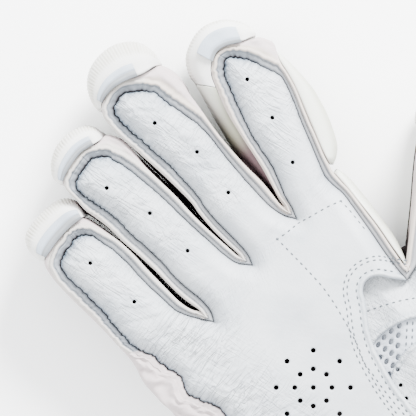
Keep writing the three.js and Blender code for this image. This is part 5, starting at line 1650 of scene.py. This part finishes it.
def pad_band(name, foot, drop, tilt):
    """Points, faces and share across of a smooth pad beside the side wall."""
    lines, lift, length = band_lines(name)
    taper = end_taper(length, 0.1 if name == "index_back" else 4, 4)
    section = CAP_SECTION if name == "index_back" else PAD_SECTION
    profile = np.clip(finer_columns(np.array(section)[None], 2)[0], 0, 1)
    rows = []
    for out, up in profile:
        flat = mix(lines[:, 0:2], lines[:, 2:4], out)
        top = SHELL_TOP + room(lines[:, 1]) + lift - drop - tilt * out * smooth(length, 0, 20) - foot - lift
        rows.append(np.column_stack([flat, foot + lift + up * top * mix(0.8, 1, taper)]))
    points = np.stack(rows, 1)
    count = points.shape[1]
    faces = [tuple(f) for f in grid_faces(len(points), count, closed=True)]
    turned = enclosed(points.reshape(-1, 3), faces) < 0
    faces.append(tuple(range(count)))
    faces.append(tuple((len(points) - 1) * count + k for k in reversed(range(count))))
    if turned:
        faces = [tuple(reversed(f)) for f in faces]
    across = profile[:, 0] + 0 * points[..., 0]
    return points.reshape(-1, 3), faces, across.ravel(), (length[:, None] + 0 * points[..., 0]).ravel()


# How much further the finger rolls reach on the left and right, to meet their neighbours.
ROLL_REACH = {"little": (0, 1.4), "ring": (1.4, 1.4), "middle": (2.6, 0)}
OUTER_ROLLS = ["roll_thenar", "roll_hand_little"]


class GLOVE_OT_rolls(bpy.types.Operator):
    """Foam rolls on the back and the pads along the index finger's side"""
    bl_idname = "glove.rolls"
    bl_label = "Foam rolls"

    def execute(self, context):
        colours = context.scene.glove_colours
        pad = np.array(colours.pad)
        # worn is the olive pad colour; here it serves as painted shade.
        worn = np.array(colours.pad_shade)
        deep = np.array(colours.gusset_shade)
        nodes = sorted(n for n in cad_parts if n.startswith("roll_"))
        pieces = [cad_copy(node) for node in nodes]
        swell_pads(pieces)
        for node, piece in zip(nodes, pieces):
            piece.data.materials.clear()
            piece.data.materials.append(FINISHES["pad"])
            points = positions(piece.data) / MM
            finger = node.split("_")[1]
            if finger in ROLL_REACH:
                left, right = ROLL_REACH[finger]
                share = (points[:, 0] - points[:, 0].min()) / np.ptp(points[:, 0])
                points[:, 0] += (left + right) * share - left
                set_positions(piece.data, points * MM)
            # Each roll is drawn a little towards olive, and painted shade turns it near black near the outer
            # lines of the side walls, under the gaps between fingers.
            far, _ = TO_OUT(points[:, 0:2])
            near = (1 - smooth(far, 2, 7)) * (node not in OUTER_ROLLS)
            paint(piece.data, mix(mix(pad, worn, 0.3), deep, near[:, None]))
            hold(piece, "pad_cover", node)
        for node in PAD_LINES:
            back = node == "index_back"
            points, faces, across, length = pad_band(node, 1 if back else 7, 1.6 if back else 1.1,
                                                     8 if back else 2.2)
            if node == "index_back":
                # Painted shade on the index finger's back pad: light only near the tip on its outer side,
                # olive further down, mauve and then near black towards the crotch, and darker along the side
                # next to the finger.
                y = points[:, 1]
                olive = mix(worn, pad, smooth(y, 78, 96)[:, None] * smooth(across, -0.3, 0.8)[:, None])
                mauve = mix(np.array(colours.mauve), deep, (1 - smooth(y, 44, 62))[:, None])
                tone = mix(mauve, olive, smooth(y, 70, 82)[:, None])
                tone = mix(tone, deep, (0.5 * (1 - smooth(across, 0, 0.35)) * smooth(-y, -100, -85))[:, None])
            else:
                # Painted shade: the outer, downward side of each side pad turns olive.
                tone = mix(pad, worn, (0.8 * smooth(across, 0.55, 1))[:, None])
            piece = make_piece(f"{node}_pad", points, faces, FINISHES["pad"],
                               np.stack([length, across * 8], -1), tone=tone)
            if node == "index_back":
                hold(piece, "pad_cover")
            else:
                hold(piece, "pad_cover", node)
        return {"FINISHED"}


# Backings

def backing_sheet(name, polygon, heights, node):
    flat, faces = fill(polygon, 3.0)
    outer = np.column_stack([flat, heights(flat)])
    inner = outer - [0, 0, SHELL_WALL]
    points, all_faces = closed_sheet(outer, inner, faces)
    # The backing sheets are painted the near black of shade, as they show only deep in the gaps between
    # fingers.
    piece = make_piece(name, points, all_faces, FINISHES["pad"], np.vstack([flat, flat]),
                       tone=np.array(bpy.context.scene.glove_colours.gusset_shade))
    hold(piece, "pad_cover", node)


class GLOVE_OT_backings(bpy.types.Operator):
    """Backings that the foam rolls are sewn to"""
    bl_idname = "glove.backings"
    bl_label = "Backings"

    def execute(self, context):
        border = resampled(OUT[:WEB_INDEX], 1.2)
        split = np.array([[palm_x(WEB_GAP["x"]), palm_y(WEB_GAP["at"])], [palm_x(BACK_SPLIT), WRIST_Y]])
        start = OUT[0]
        wrist = np.array([[palm_x(BACK_SPLIT), WRIST_Y], start])
        polygon = np.vstack([border[:-1], resampled(split, 1.2)[:-1], resampled(wrist, 1.2)[:-1]])
        backing_sheet("hand_backing_cover", polygon, lambda p: SHELL_TOP + rise(p[:, 1]), "hand_backing")
        border = resampled(OUT[WEB_INDEX + 6:], 1.2)
        edge = np.array([[palm_x(BACK_SPLIT) + 2 * GAP, WRIST_Y],
                         [palm_x(WEB_GAP["x"]) + 2 * GAP, palm_y(WEB_GAP["at"]) - 3]])
        polygon = np.vstack([border[:-1], resampled(np.array([border[-1], edge[0]]), 1.2)[:-1],
                             resampled(edge, 1.2)])
        backing_sheet("thumb_backing_cover", polygon,
                      lambda p: SHELL_TOP + thumb_rise((p - THUMB_ROOT) @ THUMB_ALONG), "thumb_backing")
        return {"FINISHED"}


# Cuff

CUFF_POWER = 2.6
WRIST_TOP = SHELL_TOP + PALM_ROOM + 4.5


def cuff_ring(at, grow, angles):
    eased = float(smooth(at, 0, 1))
    wrist_left = palm_x(-WRIST_SIDE)
    wrist_right = palm_x(THENAR_ROWS[0]["right"][1]) + THENAR_ROWS[0]["side"]
    half = mix((wrist_right - wrist_left) / 2, CUFF_HALF, eased) + grow
    tall = mix((WRIST_TOP - PAD_HEIGHT) / 2, CUFF_HEIGHT / 2, eased) + grow
    centre = mix((PAD_HEIGHT + WRIST_TOP) / 2, CUFF_HEIGHT / 2, eased)
    across = np.sign(np.cos(angles)) * np.abs(np.cos(angles)) ** (2 / CUFF_POWER)
    up = np.sign(np.sin(angles)) * np.abs(np.sin(angles)) ** (2 / CUFF_POWER)
    return np.column_stack([(wrist_left + wrist_right) / 2 + half * across,
                            np.full(len(angles), WRIST_Y - GAP - CUFF_LENGTH * at), centre + tall * up])


class GLOVE_OT_cuff(bpy.types.Operator):
    """Wrist cuff and its fastening strap"""
    bl_idname = "glove.cuff"
    bl_label = "Cuff and strap"

    def execute(self, context):
        angles = np.linspace(0, 2 * math.pi, 400, endpoint=False)
        ats = np.linspace(0, 1, 90)
        points = np.stack([cuff_ring(at, 0, angles) for at in ats])
        centre = points.mean(1, keepdims=True)
        outward = points - centre
        outward[..., 1] = 0
        outward = outward / np.linalg.norm(outward, axis=2)[..., None]
        palm_side = smooth(np.sin(angles), 0.1, 0.5)[None, :]
        ridges = np.abs(np.sin(ats * CUFF_LENGTH * math.pi / 4.2))[:, None] * 0.5 * palm_side
        hem = (smooth(ats, 0.93, 0.95) * 0.5)[:, None]
        swell = 0.3 * noise(angles[None, :] * 4 + 0 * ats[:, None],
                            ats[:, None] * 7 + 0 * angles[None, :], 71)
        outer = points + outward * ((ridges - 0.5 + hem + swell)[..., None])
        outer[..., 2] = np.maximum(outer[..., 2], 0.05)
        inner = outer - outward * (CUFF_WALL - 0.6)
        faces = grid_faces(len(ats), len(angles), closed=True)
        probe = outer.reshape(-1, 3)
        f = faces[100]
        normal = np.cross(probe[f[1]] - probe[f[0]], probe[f[2]] - probe[f[0]])
        if np.dot(normal, outward.reshape(-1, 3)[f[0]]) < 0:
            faces = faces[:, ::-1]
        all_points, all_faces = closed_sheet(probe, inner.reshape(-1, 3), faces)
        girth = line_length(points[0])[-1]
        uv = np.stack([np.linspace(0, girth, len(angles))[None, :] + 0 * ats[:, None],
                       ats[:, None] * CUFF_LENGTH + 0 * angles[None, :]], -1).reshape(-1, 2)
        piece = make_piece("cuff_cover", all_points, all_faces, FINISHES["gusset"], np.vstack([uv, uv]),
                           tone=np.array(bpy.context.scene.glove_colours.cuff))
        hold(piece, "pad_cover", "cuff")
        self.strap()
        return {"FINISHED"}

    def strap(self):
        angles = np.linspace(-2 * math.pi / 24, 26 * math.pi / 24, 220)
        ats = (STRAP_FROM_WRIST + STRAP_WIDTH * np.linspace(0, 1, 40)) / CUFF_LENGTH
        points = np.stack([cuff_ring(at, GAP + STRAP_WALL, angles) for at in ats])
        normal = grid_normals(points)
        centre = points.mean((0, 1))
        sign = np.sign((normal * (points - centre)).sum(2).mean())
        faces = grid_faces(*points.shape[:2])
        if sign < 0:
            faces = faces[:, ::-1]
        inner = points - normal * sign * (STRAP_WALL - 0.2)
        all_points, all_faces = closed_sheet(points.reshape(-1, 3), inner.reshape(-1, 3), faces)
        girth = line_length(points[0])[-1]
        uv = np.stack([np.linspace(0, girth, len(angles))[None, :] + 0 * ats[:, None],
                       ats[:, None] * CUFF_LENGTH + 0 * angles[None, :]], -1).reshape(-1, 2)
        piece = make_piece("strap_webbing", all_points, all_faces, FINISHES["tape"], np.vstack([uv, uv]),
                           {"shade": np.zeros(len(all_points))})
        hold(piece, "gusset_fabric", "cuff_strap")


# Stage

VIEW_CENTRE = (-4.0, 68.0)
VIEW_HEIGHT = 1200.0
VIEW_WIDTH = 158.1
VIEW_LEVEL = 38.0
SENSOR = 36.0


class GLOVE_OT_stage(bpy.types.Operator):
    """Pale floor, soft lights and the camera that looks straight down"""
    bl_idname = "glove.stage"
    bl_label = "Stage"

    def execute(self, context):
        scene = context.scene
        white = bpy.data.materials.new("white_floor")
        white.use_nodes = True
        shader = white.node_tree.nodes["Principled BSDF"]
        shader.inputs["Base Color"].default_value = (0.97, 0.97, 0.97, 1)
        shader.inputs["Roughness"].default_value = 0.9
        mesh = bpy.data.meshes.new("floor")
        mesh.from_pydata([(-6, -6, 0), (6, -6, 0), (6, 6, 0), (-6, 6, 0)], [], [(0, 1, 2, 3)])
        mesh.materials.append(white)
        floor = bpy.data.objects.new("floor", mesh)
        scene.collection.objects.link(floor)
        world = bpy.data.worlds.new("studio")
        world.use_nodes = True
        world.node_tree.nodes["Background"].inputs["Color"].default_value = (0.96, 0.98, 1.0, 1)
        world.node_tree.nodes["Background"].inputs["Strength"].default_value = 3.2
        scene.world = world
        self.light("key_light", (1.0, 0.45, 0.8), 0.5, 110)
        self.light("fill_light", (-0.5, 0.5, 1.5), 1.2, 26)
        camera_data = bpy.data.cameras.new("camera")
        camera_data.sensor_width = SENSOR
        camera_data.lens = SENSOR * (VIEW_HEIGHT - VIEW_LEVEL) / VIEW_WIDTH
        camera_data.clip_start = 0.05
        camera_data.clip_end = 20
        camera = bpy.data.objects.new("camera", camera_data)
        camera.location = (VIEW_CENTRE[0] * MM, VIEW_CENTRE[1] * MM, VIEW_HEIGHT * MM)
        camera.rotation_euler = (0, 0, math.radians(-45))
        scene.collection.objects.link(camera)
        scene.camera = camera
        return {"FINISHED"}

    def light(self, name, where, size, power):
        data = bpy.data.lights.new(name, "AREA")
        data.shape = "DISK"
        data.size = size
        data.energy = power
        lamp = bpy.data.objects.new(name, data)
        lamp.location = where
        lamp.rotation_euler = (-Vector(where)).to_track_quat("-Z", "Y").to_euler()
        bpy.context.scene.collection.objects.link(lamp)


# Settings, panel and start

class GloveSizes(bpy.types.PropertyGroup):
    palm_hole: FloatProperty(name="Palm hole radius", description="Radius of the air holes in the palm",
                             default=1.0 * MM, unit="LENGTH")
    finger_hole: FloatProperty(name="Finger hole radius",
                               description="Radius of the air holes in the fingers",
                               default=0.82 * MM, unit="LENGTH")
    crown: FloatProperty(name="Crown", description="How far the leather swells above its seam",
                         default=4.5 * MM, unit="LENGTH")
    wrinkles: FloatProperty(name="Wrinkles", description="Strength of the leather's folds and gathers",
                            default=1.0, subtype="FACTOR")
    rib_pitch: FloatProperty(name="Rib pitch", description="Distance between the ribs of a fingertip guard",
                             default=1.3 * MM, unit="LENGTH")
    rib_depth: FloatProperty(name="Rib depth", description="Height of the ribs of a fingertip guard",
                             default=0.4 * MM, unit="LENGTH")


def colour_property(name, description, value):
    return FloatVectorProperty(name=name, description=description, default=value, size=3, min=0, max=1,
                               subtype="COLOR")


class GloveColours(bpy.types.PropertyGroup):
    leather: colour_property("Leather", "Palm and thumb leather", (0.445, 0.465, 0.485))
    # The second leather colour lays worn blotches, and painted shade along the seams, gathers and folded
    # edges.
    leather_shade: colour_property("Leather, worn", "Leather in its gathers and worn places",
                                   (0.16, 0.208, 0.264))
    # The strip's grey-blue is the gusset cloth painted darker, as shade beside the seam.
    strip: colour_property("Strip", "Strip of the side walls beside the leather", (0.2, 0.218, 0.242))
    rim: colour_property("Rim", "Raised rim of the side walls", (0.44, 0.415, 0.39))
    rim_tan: colour_property("Rim, index", "Raised rim round the index finger", (0.44, 0.385, 0.34))
    gusset: colour_property("Gussets", "Cloth of the side walls", (0.45, 0.395, 0.395))
    # Near-black painted shade for cloth, rolls and backing sheets deep between the fingers; it also gives the
    # gussets faint blotches.
    gusset_shade: colour_property("Gussets, low", "Cloth deep between the fingers", (0.024, 0.0192, 0.0208))
    # Mauve is painted shade in the gaps towards their mouths and beside the index finger, and the colour of
    # stains on the wide heel wall.
    mauve: colour_property("Gussets, shaded", "Cloth between the middle and index fingers",
                           (0.15, 0.1, 0.108))
    cuff: colour_property("Cuff", "Cloth of the cuff", (0.528, 0.544, 0.56))
    guard: colour_property("Guards", "Ribbed guards round the fingertips", (0.64, 0.64, 0.624))
    # The second guard colour lays worn blotches, the tint of the ribbed band and painted shade low down and
    # between the ribs.
    guard_shade: colour_property("Guards, worn", "Guards low down and between the ribs", (0.4, 0.384, 0.32))
    tape: colour_property("Tapes", "Binding tapes over the fingertips", (0.34, 0.39, 0.45))
    # The second tape colour lays worn blotches and the painted shade along each tape's step.
    tape_shade: colour_property("Tapes, worn", "Tapes in worn places", (0.17, 0.18, 0.19))
    pad: colour_property("Pads", "Cover of the foam rolls and pads", (0.56, 0.576, 0.52))
    # The olive second pad colour lays faint worn blotches and painted shade on the rolls and pads.
    pad_shade: colour_property("Pads, worn", "Pads low down and in worn places", (0.336, 0.344, 0.256))
    mesh: colour_property("Mesh", "Spacer mesh at the base of the thumb", (0.44, 0.472, 0.52))
    # The second mesh colour lays worn blotches and painted shade beside the mesh's seam.
    mesh_shade: colour_property("Mesh, worn", "Spacer mesh in worn places", (0.24, 0.264, 0.304))
    thread: colour_property("Thread", "Sewing thread", (0.06, 0.07, 0.08))
    thread_shade: colour_property("Thread, worn", "Sewing thread in worn places", (0.128, 0.144, 0.16))


OPERATORS = [GLOVE_OT_palm, GLOVE_OT_thumb, GLOVE_OT_stitches, GLOVE_OT_walls, GLOVE_OT_guards,
             GLOVE_OT_rolls,
             GLOVE_OT_backings, GLOVE_OT_cuff, GLOVE_OT_stage]


class GLOVE_PT_sidebar(bpy.types.Panel):
    """Lists the glove's settings and its makers"""
    bl_idname = "GLOVE_PT_sidebar"
    bl_label = "Batting glove"
    bl_space_type = "VIEW_3D"
    bl_region_type = "UI"
    bl_category = "Glove"

    def draw(self, context):
        for settings in (context.scene.glove_sizes, context.scene.glove_colours):
            for key in settings.__annotations__:
                self.layout.prop(settings, key)
        for operator in OPERATORS:
            self.layout.operator(operator.bl_idname)


CLASSES = [GloveSizes, GloveColours, *OPERATORS, GLOVE_PT_sidebar]


def register():
    for item in CLASSES:
        bpy.utils.register_class(item)
    bpy.types.Scene.glove_sizes = PointerProperty(type=GloveSizes)
    bpy.types.Scene.glove_colours = PointerProperty(type=GloveColours)


def unregister():
    del bpy.types.Scene.glove_colours
    del bpy.types.Scene.glove_sizes
    for item in reversed(CLASSES):
        bpy.utils.unregister_class(item)


def main():
    register()
    make_finishes(bpy.context.scene.glove_colours)
    for operator in OPERATORS:
        group, name = operator.bl_idname.split(".")
        getattr(getattr(bpy.ops, group), name)()


if __name__ == "__main__":
    main()
